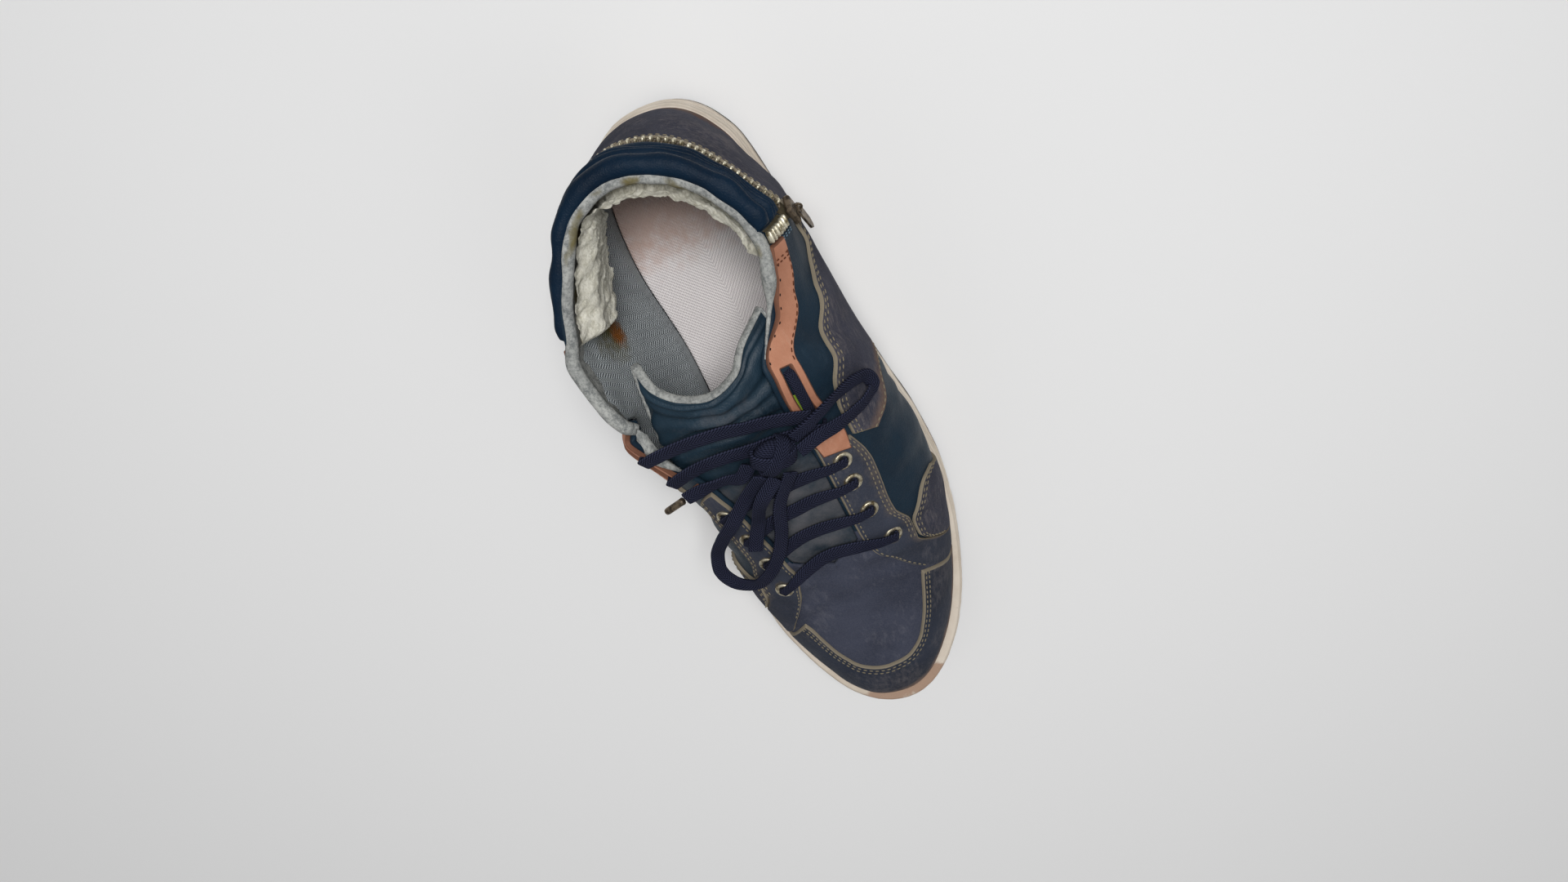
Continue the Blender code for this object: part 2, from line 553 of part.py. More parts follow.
def make_insole(parts):
    """Footbed inside the upper, on the cup's floor."""
    inset = feather(STATIONS) + UPPER_WALL + 2 * CLEARANCE
    rings = np.array([
        sole_ring(inset, lambda x: cup_floor(x) + CLEARANCE),
        sole_ring(inset, lambda x: cup_floor(x) + CLEARANCE + INSOLE_THICKNESS)])
    finish = material("insole_knit", (0.72, 0.70, 0.68), 0.95)
    return ringed_solid("insole", rings, finish, parts)


def make_upper(parts):
    """Hollow shell of the last, open at the collar, the throat and underneath."""
    grid = facet_grid(0.0)
    plan, _ = outline(STATIONS, feather(STATIONS))
    foot = np.concatenate([plan, (cup_floor(plan[:, 0]) + CLEARANCE)[:, None]], -1)
    rows = np.concatenate([foot[:, None, :], grid], axis=1)
    count, deep = rows.shape[:2]
    faces = []
    for k in range(count):
        n = (k + 1) % count
        for j in range(deep - 1):
            low, high = k * deep + j, n * deep + j + 1
            faces.append((low, low + 1, high))
            faces.append((low, high, high - 1))
    finish = material("petrol_leather", (0.015, 0.07, 0.11), 0.45)
    upper = add_mesh("upper", rows.reshape(-1, 3), faces, finish, parts, weld=2e-5)
    solidify(upper, UPPER_WALL, -1)
    return upper


def band_columns(table, own=True):
    """Columns of a band: every grid station it spans, its ends and its own turns."""
    table = np.array(table, float)
    first, final = table[0, 0], table[-1, 0]
    stations = np.r_[STATIONS - 2, STATIONS, STATIONS + 2]
    inside = stations[(stations > first) & (stations < final)]
    chosen = table[:, 0] if own else table[[0, -1], 0]
    far = [t for t in chosen if len(inside) == 0 or np.abs(inside - t).min() > 0.003]
    ends = [t for t in (first, final) if t not in far]
    inside = [t for t in inside if all(abs(t - e) > 0.003 for e in ends)]
    turns = np.unique(np.round(np.r_[far, ends, inside], 7))
    low = np.interp(turns, table[:, 0], table[:, 1])
    high = np.interp(turns, table[:, 0], table[:, 2])
    return turns, low, high


def clip(polygon, across, along, limit):
    """Part of a flat polygon where across * x + along * y is at most limit."""
    kept = []
    for (x0, y0), (x1, y1) in zip(polygon, polygon[1:] + polygon[:1]):
        d0, d1 = across * x0 + along * y0 - limit, across * x1 + along * y1 - limit
        if d0 <= 0:
            kept.append((x0, y0))
        if d0 * d1 < 0:
            s = d0 / (d0 - d1)
            kept.append((x0 + (x1 - x0) * s, y0 + (y1 - y0) * s))
    return kept


def cut_sheet(name, table, offset, finish, parts, own=True, splits=(), keep=None):
    """Open sheet cut out of the upper's faces, moved outwards by offset.

    The band between two columns is a trapezium in the grid's own coordinates, and
    every triangle of the grid is clipped to it.  splits divide the band's height,
    and keep says which of the parts stays.
    """
    grid = facet_grid(offset)
    edges = edge_climb(STATIONS)
    turns, low, high = band_columns(table, own)
    shares = (0.0, *splits, 1.0)
    points, faces = [], []
    for n in range(len(turns) - 1):
        middle = wrap((turns[n] + turns[n + 1]) / 2)
        i = int(np.searchsorted(STATIONS, middle, side="right")) - 1
        nxt = (i + 1) % len(STATIONS)
        start = STATIONS[i]
        span = (STATIONS[nxt] if nxt else 1.0) - start
        place = [float(wrap(turns[n] - start) / span), float(wrap(turns[n + 1] - start) / span)]
        place = [0.0 if abs(f) < 1e-4 else 1.0 if abs(f - 1) < 1e-4 else f for f in place]
        cut = [edges[i] * (1 - f) + edges[nxt] * f for f in place]
        for part in range(len(shares) - 1):
            if keep is not None and not keep((turns[n] + turns[n + 1]) / 2, part):
                continue
            ends = [[min((low[n + k] + (high[n + k] - low[n + k]) * share) / cut[k], 1) * LEVELS
                     for k in (0, 1)] for share in shares[part:part + 2]]
            width = place[1] - place[0]
            slopes = [(pair[1] - pair[0]) / width for pair in ends]
            for j in range(max(int(min(ends[0])), 0), min(math.ceil(max(ends[1])), LEVELS)):
                corners = {0: grid[i, j], 1: grid[i, j + 1], 2: grid[nxt, j + 1], 3: grid[nxt, j]}
                for triangle in (((0, j), (0, j + 1), (1, j + 1)), ((0, j), (1, j + 1), (1, j))):
                    flat = [(float(x), float(y)) for x, y in triangle]
                    flat = clip(flat, -1, 0, -place[0])
                    flat = clip(flat, 1, 0, place[1])
                    flat = clip(flat, slopes[0], -1, slopes[0] * place[0] - ends[0][0])
                    flat = clip(flat, -slopes[1], 1, ends[1][0] - slopes[1] * place[0])
                    if len(flat) < 3:
                        continue
                    left = triangle[1][0] == 0
                    face = []
                    for f, level in flat:
                        g = level - j
                        if left:
                            spot = corners[0] * (1 - g) + corners[1] * (g - f) + corners[2] * f
                        else:
                            spot = corners[0] * (1 - f) + corners[3] * (f - g) + corners[2] * g
                        face.append(len(points))
                        points.append(spot)
                    faces.append(tuple(face))
    return add_mesh(name, points, faces, finish, parts, weld=4e-5)


def strip_sheet(name, turns, low, high, shares, offset, finish, parts):
    """Open sheet of even rows between two climbs, seated on the upper's faces."""
    grid = facet_grid(offset)
    wide = len(shares)
    points = []
    for turn, bottom, top in zip(turns, low, high):
        climbs = bottom + (top - bottom) * np.asarray(shares)
        points.extend(on_facets(np.full(wide, turn), climbs, grid))
    faces = []
    for i in range(len(turns) - 1):
        for j in range(wide - 1):
            low_left, high_right = i * wide + j, (i + 1) * wide + j + 1
            faces.append((low_left, low_left + 1, high_right))
            faces.append((low_left, high_right, high_right - 1))
    return add_mesh(name, points, faces, finish, parts)


def overlay(name, table, finish, parts, inner=False, own=True, seat=SEAT, splits=(), keep=None):
    """Leather overlay: a band on the last with an even thickness."""
    rows = [Band(-row.turn, row.low, row.high) for row in reversed(table)] if inner else table
    sheet = cut_sheet(name, rows, seat, finish, parts, own, splits, keep)
    solidify(sheet, OVERLAY, 1)
    return sheet


def climb_of(length):
    """Climb that a length up the heel takes, near enough for a narrow band."""
    heel = last(np.zeros(2), np.array([0.55, 0.75]))
    return length * 0.2 / np.linalg.norm(heel[1] - heel[0])


def make_overlays(parts):
    """Heel counter, straps, patches, toe guard, eyestays and leather trims."""
    nubuck = material("navy_nubuck", (0.035, 0.042, 0.075), 0.9)
    facing = material("navy_facing", (0.045, 0.052, 0.085), 0.85)
    tan = material("tan_leather", (0.42, 0.20, 0.12), 0.6)
    half = climb_of(TAPE_WIDTH / 2 + 0.0006)
    counter = [Band(row.turn, 0.02, row.high - half) for row in ZIP_LINE]
    counter.insert(0, Band(-0.286, 0.02, 0.560))
    overlay("heel_counter", counter, nubuck, parts, own=False)
    overlay("side_strap_lateral", STRAP_OUTER, nubuck, parts, own=False)
    overlay("side_strap_medial", STRAP_INNER, nubuck, parts, inner=True, own=False)
    overlay("side_patch_lateral", PATCH_OUTER, nubuck, parts)
    overlay("side_patch_medial", PATCH_INNER, nubuck, parts, inner=True)
    overlay("toe_guard", TOE_GUARD, nubuck, parts, own=False)
    overlay("eyestay_lateral", EYESTAY_OUTER, facing, parts)
    overlay("eyestay_medial", EYESTAY_INNER, facing, parts, inner=True)

    def outside_slot(turn, strip):
        """Leave out the middle strip where the lace passes through."""
        return strip != 1 or not TAN_SLOT[0] < abs(turn) < TAN_SLOT[1]

    thirds = (0.36, 0.66)
    for side, table in (("lateral", TAN_OUTER), ("medial", TAN_INNER)):
        overlay(f"tan_trim_{side}", table, tan, parts, side == "medial", False, TRIM_SEAT,
                thirds, outside_slot)


def make_cuff(parts):
    """Padded cuff between the zip and the rim, with rolled folds round the heel."""
    half = climb_of(TAPE_WIDTH / 2 + 0.0006)
    table = [Band(row.turn, row.high + half, 0.995) for row in ZIP_LINE if row.turn < 0.25]
    table[0] = Band(-0.278, 0.800, 0.995)
    table.append(Band(0.266, 0.800, 0.995))
    turns, low, high = band_columns(table, own=False)
    finish = material("cuff_leather", (0.012, 0.06, 0.10), 0.4)
    rows = np.linspace(0, 1, 9)
    sheet = strip_sheet("collar_cuff", turns, low, high, rows, SEAT, finish, parts)
    depth = []
    folds = 3
    for vertex in sheet.data.vertices:
        place = (vertex.index % 9) / 8
        wave = abs(math.sin(math.pi * folds * place)) ** 0.7
        ends = CUFF_CREASE if place in (0.0, 1.0) else 0.0
        depth.append(max(ends, CUFF_CREASE + (CUFF_THICKNESS - CUFF_CREASE) * wave))
    solidify(sheet, CUFF_THICKNESS, 1, [d / CUFF_THICKNESS for d in depth])
    return sheet


def zip_turns():
    """Even tooth places along the zip line, as turns, up to the slider."""
    line = np.array(ZIP_LINE)
    fine = np.linspace(line[0, 0], TEETH_TO, 400)
    climb = np.interp(fine, line[:, 0], line[:, 1])
    run = np.r_[0, np.cumsum(np.linalg.norm(np.diff(last(fine, climb), axis=0), axis=1))]
    teeth = int(run[-1] / TOOTH_PITCH)
    marks = np.linspace(0, run[-1], 2 * teeth + 1)
    return np.interp(marks, run, fine)


def make_zip(parts):
    """Tape, teeth, the riser beside the cuff, slider and pull tab."""
    tape_finish = material("zip_tape", (0.16, 0.14, 0.11), 0.9)
    brass = material("zip_brass", (0.45, 0.36, 0.20), 0.45, 0.9)
    dark = material("zip_slider", (0.10, 0.09, 0.08), 0.4, 0.9)
    half = climb_of(TAPE_WIDTH / 2)
    tape = cut_sheet("zip_tape", [Band(r.turn, r.low - half, r.high + half) for r in ZIP_LINE],
                     SEAT, tape_finish, parts, own=False)
    solidify(tape, TAPE_THICKNESS, 1)
    half = climb_of(TEETH_WIDTH / 2)
    line = np.array(ZIP_LINE)
    marks = zip_turns()
    centre = np.interp(marks, line[:, 0], line[:, 1])
    above = SEAT + TAPE_THICKNESS + SEAT
    teeth = strip_sheet("zip_teeth", marks, centre - half, centre + half, (0.0, 1.0),
                        above, brass, parts)
    weights = [1.0 if (v.index // 2) % 2 else 0.45 for v in teeth.data.vertices]
    solidify(teeth, TOOTH_HEIGHT, 1, weights)
    turns = np.array([0.2705, 0.2885])
    low, high = np.full(2, 0.792), np.full(2, 0.992)
    rows = np.linspace(0, 1, 17)
    sheet = strip_sheet("zip_riser", turns, low, high, rows, TRIM_SEAT, brass, parts)
    weights = [1.0 if (v.index % 17) % 2 else 0.5 for v in sheet.data.vertices]
    solidify(sheet, TAPE_THICKNESS + TOOTH_HEIGHT, 1, weights)
    make_slider(parts, dark)


SLIDER_TURN, SLIDER_CLIMB = 0.281, 0.66
SLIDER_LENGTH, SLIDER_WIDTH, SLIDER_HEIGHT = 0.0090, 0.0080, 0.0028
BRIDGE_WIRE = 0.00045      # radius of the arch over the slider
PULL_LENGTH, PULL_WIDTH, PULL_THICKNESS = 0.0130, 0.0060, 0.0009
PULL_BAR = 0.0010          # the pull's end bar, which turns under the arch
PULL_EYE = 0.0022          # length of the eye beyond the bar
PIVOT_LIFT = PULL_BAR / 2 + SEAT


def slider_frame():
    """Axes at the slider: along the zip, across it, and out of the shoe."""
    turn, climb = np.array(SLIDER_TURN), np.array(SLIDER_CLIMB)
    small = 0.003
    place = last(turn, climb)
    out = last_normal(turn, climb)
    along = last(turn + small, climb - small * 3) - last(turn - small, climb + small * 3)
    along -= out * np.dot(along, out)
    along /= np.linalg.norm(along)
    across = np.cross(out, along)
    frame = Matrix.Identity(4)
    for column, axis in enumerate((along, across, out)):
        frame.col[column][0:3] = axis
    frame.col[3][0:3] = place + out * (SEAT + TAPE_THICKNESS + SEAT)
    return frame


def make_slider(parts, finish):
    """Slider body with its bridge, and the pull tab on an empty at the pivot."""
    frame = slider_frame()
    body = bmesh.new()
    size = Matrix.Diagonal((SLIDER_LENGTH, SLIDER_WIDTH, SLIDER_HEIGHT, 1))
    bmesh.ops.create_cube(body, size=1, matrix=Matrix.Translation((0, 0, SLIDER_HEIGHT / 2)) @ size)
    mesh = bpy.data.meshes.new("zip_slider")
    body.to_mesh(mesh)
    body.free()
    slider = add_object("zip_slider", mesh, finish, parts)
    slider.matrix_world = frame
    round_edges = slider.modifiers.new("edges", "BEVEL")
    round_edges.width = 0.0009
    round_edges.segments = 2
    pivot = bpy.data.objects.new("pull_pivot", None)
    parts.objects.link(pivot)
    pivot.matrix_world = frame @ Matrix.Translation(
        (0, 0, SLIDER_HEIGHT + PIVOT_LIFT))
    add_bridge(frame, finish, parts)
    add_pull(pivot, finish, parts)


def add_bridge(frame, finish, parts):
    """Arch of wire over the slider, round the end bar of the pull."""
    reach = (PULL_BAR + PULL_EYE) / 2
    pivot = SLIDER_HEIGHT + PIVOT_LIFT
    foot = SLIDER_HEIGHT + CLEARANCE
    angles = np.linspace(0, math.pi, 9)
    points = [(reach * math.cos(a), 0, pivot + reach * math.sin(a)) for a in angles]
    points = [(reach, 0, foot)] + points + [(-reach, 0, foot)]
    obj = tube("zip_bridge", points, BRIDGE_WIRE, finish, parts, 1)
    obj.matrix_world = frame
    return obj


def add_pull(pivot, finish, parts):
    """Flat tab with an eye round the bridge, lying along the slider."""
    outline_curve = bpy.data.curves.new("zip_pull", "CURVE")
    outline_curve.dimensions = "2D"
    outline_curve.fill_mode = "BOTH"
    outline_curve.extrude = PULL_THICKNESS / 2
    half, bar, eye = PULL_WIDTH / 2, PULL_BAR / 2, PULL_EYE
    tip = PULL_LENGTH - bar
    outer = [(-bar, -half * 0.6), (bar + eye, -half), (tip - 0.002, -half * 0.85),
             (tip, -half * 0.3), (tip, half * 0.3),
             (tip - 0.002, half * 0.85), (bar + eye, half), (-bar, half * 0.6)]
    hole = [(bar, -half * 0.38), (bar, half * 0.38), (bar + eye * 0.8, half * 0.45),
            (bar + eye, 0), (bar + eye * 0.8, -half * 0.45)]
    for loop in (outer, hole):
        spline = outline_curve.splines.new("POLY")
        spline.points.add(len(loop) - 1)
        spline.use_cyclic_u = True
        for point, (x, y) in zip(spline.points, loop):
            point.co = (x, y, 0, 1)
    flat = bpy.data.objects.new("zip_pull_curve", outline_curve)
    bpy.context.scene.collection.objects.link(flat)
    obj = curve_to_mesh(flat, "zip_pull", finish, parts)
    obj.parent = pivot
    return obj


def curve_to_mesh(curve_object, name, finish, parts):
    """Turn a curve object into a welded mesh object in its place."""
    bpy.context.view_layer.update()
    view = bpy.context.evaluated_depsgraph_get()
    mesh = bpy.data.meshes.new_from_object(curve_object.evaluated_get(view))
    place = curve_object.matrix_world.copy()
    bpy.data.objects.remove(curve_object)
    shape = bmesh.new()
    shape.from_mesh(mesh)
    bmesh.ops.remove_doubles(shape, verts=shape.verts, dist=1e-6)
    shape.to_mesh(mesh)
    shape.free()
    obj = add_object(name, mesh, finish, parts)
    obj.matrix_world = place
    return obj


def tube(name, points, radius, finish, parts, resolution=2):
    """Cord or wire: a curve with a round section and filled caps."""
    curve = bpy.data.curves.new(name, "CURVE")
    curve.dimensions = "3D"
    curve.bevel_depth = radius
    curve.bevel_resolution = resolution
    curve.use_fill_caps = True
    spline = curve.splines.new("POLY")
    spline.points.add(len(points) - 1)
    for point, place in zip(spline.points, points):
        point.co = (*place, 1)
    obj = bpy.data.objects.new(name, curve)
    curve.materials.append(finish)
    parts.objects.link(obj)
    return obj


def make_tongue(parts):
    """Padded tongue: follows the last under the laces, then stands up to its edge."""
    sides = np.linspace(-1, 1, 13)
    crown = np.where(np.abs(sides) < 0.5, np.cos(np.pi * sides) ** 2, 0) * TONGUE_CROWN
    turns = np.array([TONGUE_BASE, 0.67, 0.635, 0.60, 0.57, 0.54, TONGUE_JOIN])
    swell = np.clip((0.665 - turns) / 0.05, 0, 1)
    under = -(UPPER_WALL + TONGUE_GAP)
    rows = []
    for turn, share in zip(turns, swell):
        spread = np.where(sides < 0, TONGUE_SPREAD_INNER, TONGUE_SPREAD_OUTER)
        climb = 1 - (1 - spread) * np.abs(sides)
        rows.append(off_last(np.where(sides < 0, -turn, turn), climb,
                             under + crown * share))
    edge = np.array(TONGUE_EDGE)
    top = smooth_rows(edge[:, 0], edge[:, 1:], sides)
    top = top * (LENGTH, BALL_WIDTH, COLLAR_HEIGHT) - (HEEL_SET, 0, 0)
    start, before = rows[-1], rows[-2]
    pull = start - before
    for s in (0.25, 0.5, 0.75, 1.0):
        bend = 3 * s * (1 - s) ** 2 * 1.2
        rows.append(start * (1 - s) ** 2 * (1 + 2 * s) + top * s * s * (3 - 2 * s)
                    + pull * bend * 0.5)
    rows = np.array(rows)
    count, wide = rows.shape[:2]
    faces = [(i * wide + j, i * wide + j + 1, (i + 1) * wide + j + 1, (i + 1) * wide + j)
             for i in range(count - 1) for j in range(wide - 1)]
    finish = material("tongue_leather", (0.015, 0.06, 0.09), 0.45)
    tongue = add_mesh("tongue", rows.reshape(-1, 3), faces, finish, parts)
    solidify(tongue, TONGUE_THICKNESS, -1)
    return tongue


def ring_base():
    """Height of an eyelet's middle line above the last."""
    return SEAT + OVERLAY + SEAT + EYELET_WIRE


def make_eyelets(parts):
    """Brass rings on the eyestays."""
    finish = material("eyelet_brass", (0.50, 0.44, 0.32), 0.4, 0.9)
    for side, spots, sign in (("lateral", EYELETS_OUTER, 1), ("medial", EYELETS_INNER, -1)):
        for number, spot in enumerate(spots, 1):
            turn, climb = np.array(sign * spot.turn), np.array(spot.climb)
            place = off_last(turn, climb, ring_base())
            bpy.ops.mesh.primitive_torus_add(
                major_segments=10, minor_segments=4,
                major_radius=EYELET_RADIUS, minor_radius=EYELET_WIRE)
            ring = bpy.context.object
            ring.name = f"eyelet_{side}_{number}"
            for owner in list(ring.users_collection):
                owner.objects.unlink(ring)
            parts.objects.link(ring)
            ring.data.materials.append(finish)
            ring.location = Vector(place)
            ring.rotation_mode = "QUATERNION"
            normal = Vector(last_normal(turn, climb))
            ring.rotation_quaternion = normal.to_track_quat("Z", "Y")


def ribbon(name, centre, side, up, finish, parts):
    """Flat lace along a centre line, with its width and thickness directions."""
    half_w, half_t = LACE_WIDTH / 2, LACE_THICKNESS / 2
    profile = ((-1, -0.35), (-0.8, -1), (0.8, -1), (1, -0.35), (1, 0.35), (0.8, 1),
               (-0.8, 1), (-1, 0.35))
    points, count = [], len(centre)
    for c, s, u in zip(centre, side, up):
        points.extend(c + s * half_w * a + u * half_t * b for a, b in profile)
    size = len(profile)
    faces = [(i * size + j, i * size + (j + 1) % size, (i + 1) * size + (j + 1) % size,
              (i + 1) * size + j) for i in range(count - 1) for j in range(size)]
    faces.append(tuple(range(size))[::-1])
    faces.append(tuple((count - 1) * size + j for j in range(size)))
    obj = add_mesh(name, points, faces, finish, parts)
    shape = bmesh.new()
    shape.from_mesh(obj.data)
    bmesh.ops.recalc_face_normals(shape, faces=shape.faces)
    shape.to_mesh(obj.data)
    shape.free()
    return obj


def lace_run(outer, inner, lift_end, lift_middle, flat=1.0, power=1.6, count=9):
    """Centre line and directions of a lace between two spots across the instep.

    From its ends to the share flat of each half, it keeps its full lift.
    """
    v = np.linspace(1, -1, count)
    ridge = (outer.turn + inner.turn) / 2
    away = np.abs(v)
    turn_of = np.where(v >= 0, outer.turn, inner.turn)
    climb_of_side = np.where(v >= 0, outer.climb, inner.climb)
    turn = ridge + (turn_of - ridge) * away
    climb = 1 - (1 - climb_of_side) * away
    signed = np.where(v >= 0, turn, -turn)
    lift = lift_middle + (lift_end - lift_middle) * np.clip(away / flat, 0, 1) ** power
    centre = off_last(signed, climb, lift)
    middle = count // 2
    # The two sides meet on the ridge, so the middle point is shared.
    centre[middle] = (off_last(turn[middle], 1.0, lift[middle])
                      + off_last(-turn[middle], 1.0, lift[middle])) / 2
    along = np.gradient(centre, axis=0)
    along /= np.linalg.norm(along, axis=-1, keepdims=True)
    up = last_normal(signed, climb)
    up[middle] = up[middle - 1] + up[middle + 1]
    side = np.cross(up, along)
    side /= np.linalg.norm(side, axis=-1, keepdims=True)
    up = np.cross(along, side)
    return centre, side, up


def make_lace_bars(parts):
    """Crossings of the lace from eyelet to eyelet, clear of the rings."""
    finish = material("navy_lace", (0.012, 0.016, 0.035), 0.9)
    over_ring = ring_base() + EYELET_WIRE + 1.5 * SEAT + LACE_THICKNESS / 2
    over_tongue = -LACE_THICKNESS * 0.1
    for number, (outer, inner) in enumerate(zip(EYELETS_OUTER, EYELETS_INNER), 1):
        run = lace_run(outer, inner, over_ring, over_tongue, flat=0.74)
        ribbon(f"lace_bar_{number}", *run, finish, parts)
    over = TRIM_SEAT + OVERLAY + SEAT + LACE_THICKNESS * 1.2
    for number, (outer, inner, middle) in enumerate(STRANDS, 1):
        run = lace_run(outer, inner, over, middle, flat=0.9, power=1.0)
        ribbon(f"lace_strand_{number}", *run, finish, parts)
    return finish


def smooth_path(points, count):
    """Smooth curve through chosen points, with even steps."""
    points = np.array(points, float)
    run = np.r_[0, np.cumsum(np.linalg.norm(np.diff(points, axis=0), axis=1))]
    slope = np.gradient(points, run, axis=0)
    fine = np.linspace(0, run[-1], count * 8)
    i = np.clip(np.searchsorted(run, fine, side="right") - 1, 0, len(run) - 2)
    h = np.diff(run)[i][:, None]
    u = (fine - run[i])[:, None] / h
    curve = (points[i] * (2 * u ** 3 - 3 * u ** 2 + 1) + slope[i] * h * (u ** 3 - 2 * u ** 2 + u)
             + points[i + 1] * (3 * u ** 2 - 2 * u ** 3) + slope[i + 1] * h * (u ** 3 - u ** 2))
    length = np.r_[0, np.cumsum(np.linalg.norm(np.diff(curve, axis=0), axis=1))]
    even = np.linspace(0, length[-1], count)
    return np.stack([np.interp(even, length, curve[:, k]) for k in range(3)], -1)


KNOT_TURN, KNOT_CLIMB, KNOT_LIFT = 0.515, 0.945, 0.0066
KNOT_SIZE = (0.0180, 0.0160, 0.0090)


def knot_place():
    """Centre of the bow's knot, on the strands over the instep."""
    return off_last(np.array(KNOT_TURN), np.array(KNOT_CLIMB), KNOT_LIFT)


def make_bow(finish, parts):
    """Knot, two loops, two ends and the lace's stiff tip, lying as in the photograph."""
    knot = knot_place()
    bpy.ops.mesh.primitive_uv_sphere_add(segments=10, ring_count=6, radius=0.5)
    ball = bpy.context.object
    ball.name = "lace_knot"
    for owner in list(ball.users_collection):
        owner.objects.unlink(ball)
    parts.objects.link(ball)
    ball.data.materials.append(finish)
    ball.data.transform(Matrix.Diagonal((*KNOT_SIZE, 1)))
    ball.location = Vector(knot)
    ball.rotation_mode = "QUATERNION"
    up = Vector(last_normal(np.array(KNOT_TURN), np.array(KNOT_CLIMB)))
    ball.rotation_quaternion = up.to_track_quat("Z", "Y")
    for name, route, count in (("lace_loop_1", LOOP_OUTER, 15), ("lace_loop_2", LOOP_INNER, 19),
                               ("lace_end_1", END_SHORT, 8), ("lace_end_2", END_LONG, 8)):
        path = smooth_path(np.array(route) + knot, count)
        tube(name, path, LACE_TUBE / 2, finish, parts)
    tip = np.array(LACE_TIP) + knot
    tube("lace_tip", tip, 0.0016, finish, parts)


def collection(name):
    """Collection of that name in the scene, made when it is first asked for."""
    found = bpy.data.collections.get(name)
    if found is None:
        found = bpy.data.collections.new(name)
        bpy.context.scene.collection.children.link(found)
    return found


def main():
    """Clear the scene and build the sneaker."""
    for obj in list(bpy.data.objects):
        bpy.data.objects.remove(obj, do_unlink=True)
    parts = collection("worn_sneaker")
    make_outsole(parts)
    make_midsole(parts)
    make_insole(parts)
    make_upper(parts)
    make_tongue(parts)
    make_overlays(parts)
    make_cuff(parts)
    make_zip(parts)
    make_eyelets(parts)
    lace = make_lace_bars(parts)
    make_bow(lace, parts)


main()
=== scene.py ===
"""Looks of the worn out sneaker: leather, nubuck, zip, fleece, laces and a dirty cup sole.

Everything is built on the same last as the solids.  A turn runs round the shoe from
the back of the heel (0) to the toe (1 along the outer side, -1 along the inner side),
and a climb runs up it from the feather line (0) to the rim or ridge (1).
"""
import logging
import math
from dataclasses import dataclass
from enum import Enum

import bmesh
import bpy
import numpy as np
from mathutils import Matrix, Vector


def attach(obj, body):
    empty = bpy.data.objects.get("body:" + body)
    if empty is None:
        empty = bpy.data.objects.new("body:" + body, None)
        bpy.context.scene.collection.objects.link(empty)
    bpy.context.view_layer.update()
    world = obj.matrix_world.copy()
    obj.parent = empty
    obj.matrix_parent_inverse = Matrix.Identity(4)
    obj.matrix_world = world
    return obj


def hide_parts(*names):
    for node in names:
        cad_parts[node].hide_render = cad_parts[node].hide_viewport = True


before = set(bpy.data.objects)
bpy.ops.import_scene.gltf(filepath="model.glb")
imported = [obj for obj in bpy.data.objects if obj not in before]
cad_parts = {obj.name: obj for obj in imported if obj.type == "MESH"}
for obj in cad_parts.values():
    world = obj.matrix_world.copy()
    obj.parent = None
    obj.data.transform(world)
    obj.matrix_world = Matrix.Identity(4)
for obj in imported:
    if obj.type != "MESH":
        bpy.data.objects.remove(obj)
LOG = logging.getLogger("sneaker")
Array = np.ndarray
Colour = tuple[float, float, float]
BODY = "shoe"

# Sole outline: turn, share of the ball's width.
OUTER_EDGE = (
    (0.0, 0.0), (0.05, 0.12), (0.1, 0.215), (0.15, 0.287), (0.2, 0.34),
    (0.3, 0.381), (0.4, 0.412), (0.5, 0.465), (0.55, 0.499), (0.6, 0.509),
    (0.65, 0.483), (0.7, 0.436), (0.75, 0.375), (0.8, 0.3), (0.85, 0.211),
    (0.9, 0.118), (0.95, 0.028), (1.0, -0.067))
INNER_EDGE = (
    (0.0, 0.0), (0.05, -0.113), (0.1, -0.209), (0.15, -0.282), (0.2, -0.333),
    (0.3, -0.363), (0.4, -0.336), (0.5, -0.37), (0.55, -0.427), (0.6, -0.487),
    (0.65, -0.517), (0.7, -0.505), (0.75, -0.464), (0.8, -0.408), (0.85, -0.342),
    (0.9, -0.261), (0.95, -0.167), (1.0, -0.067))

# Sections: turn, reach, side, height, lean, foot, rise, head, edge.
OUTER_SECTIONS = (
    (0.0, 0.0622, -0.057, 1.0, -2, 0.34, 80, 0.34, 1.0),
    (0.1, 0.0799, 0.104, 1.0, 0, 0.34, 78, 0.34, 1.0),
    (0.2, 0.1332, 0.255, 0.996, 7, 0.36, 72, 0.34, 1.0),
    (0.27, 0.1964, 0.321, 0.987, 20, 0.4, 62, 0.34, 1.0),
    (0.33, 0.2467, 0.283, 0.996, 22, 0.42, 56, 0.32, 0.99),
    (0.39, 0.2901, 0.17, 1.022, 24, 0.44, 36, 0.34, 0.9),
    (0.45, 0.3463, -0.057, 1.058, 24, 0.44, 0, 0.4, 0.83),
    (0.5, 0.4194, -0.061, 0.955, 24, 0.44, 0, 0.42, 0.84),
    (0.55, 0.4953, -0.059, 0.857, 21, 0.44, 0, 0.44, 0.83),
    (0.6, 0.5723, -0.053, 0.767, 11, 0.44, 0, 0.46, 0.84),
    (0.64, 0.6364, -0.047, 0.697, 4, 0.44, 0, 0.46, 0.84),
    (0.67, 0.6789, -0.043, 0.653, 0, 0.44, 0, 0.46, 1.0),
    (0.7, 0.7154, -0.045, 0.615, -4, 0.43, 0, 0.46, 1.0),
    (0.8, 0.7844, -0.052, 0.549, -8, 0.36, 0, 0.46, 1.0),
    (0.9, 0.8249, -0.057, 0.517, -15, 0.28, 0, 0.5, 1.0),
    (1.0, 0.8417, -0.058, 0.504, -24, 0.23, 0, 0.5, 1.0))
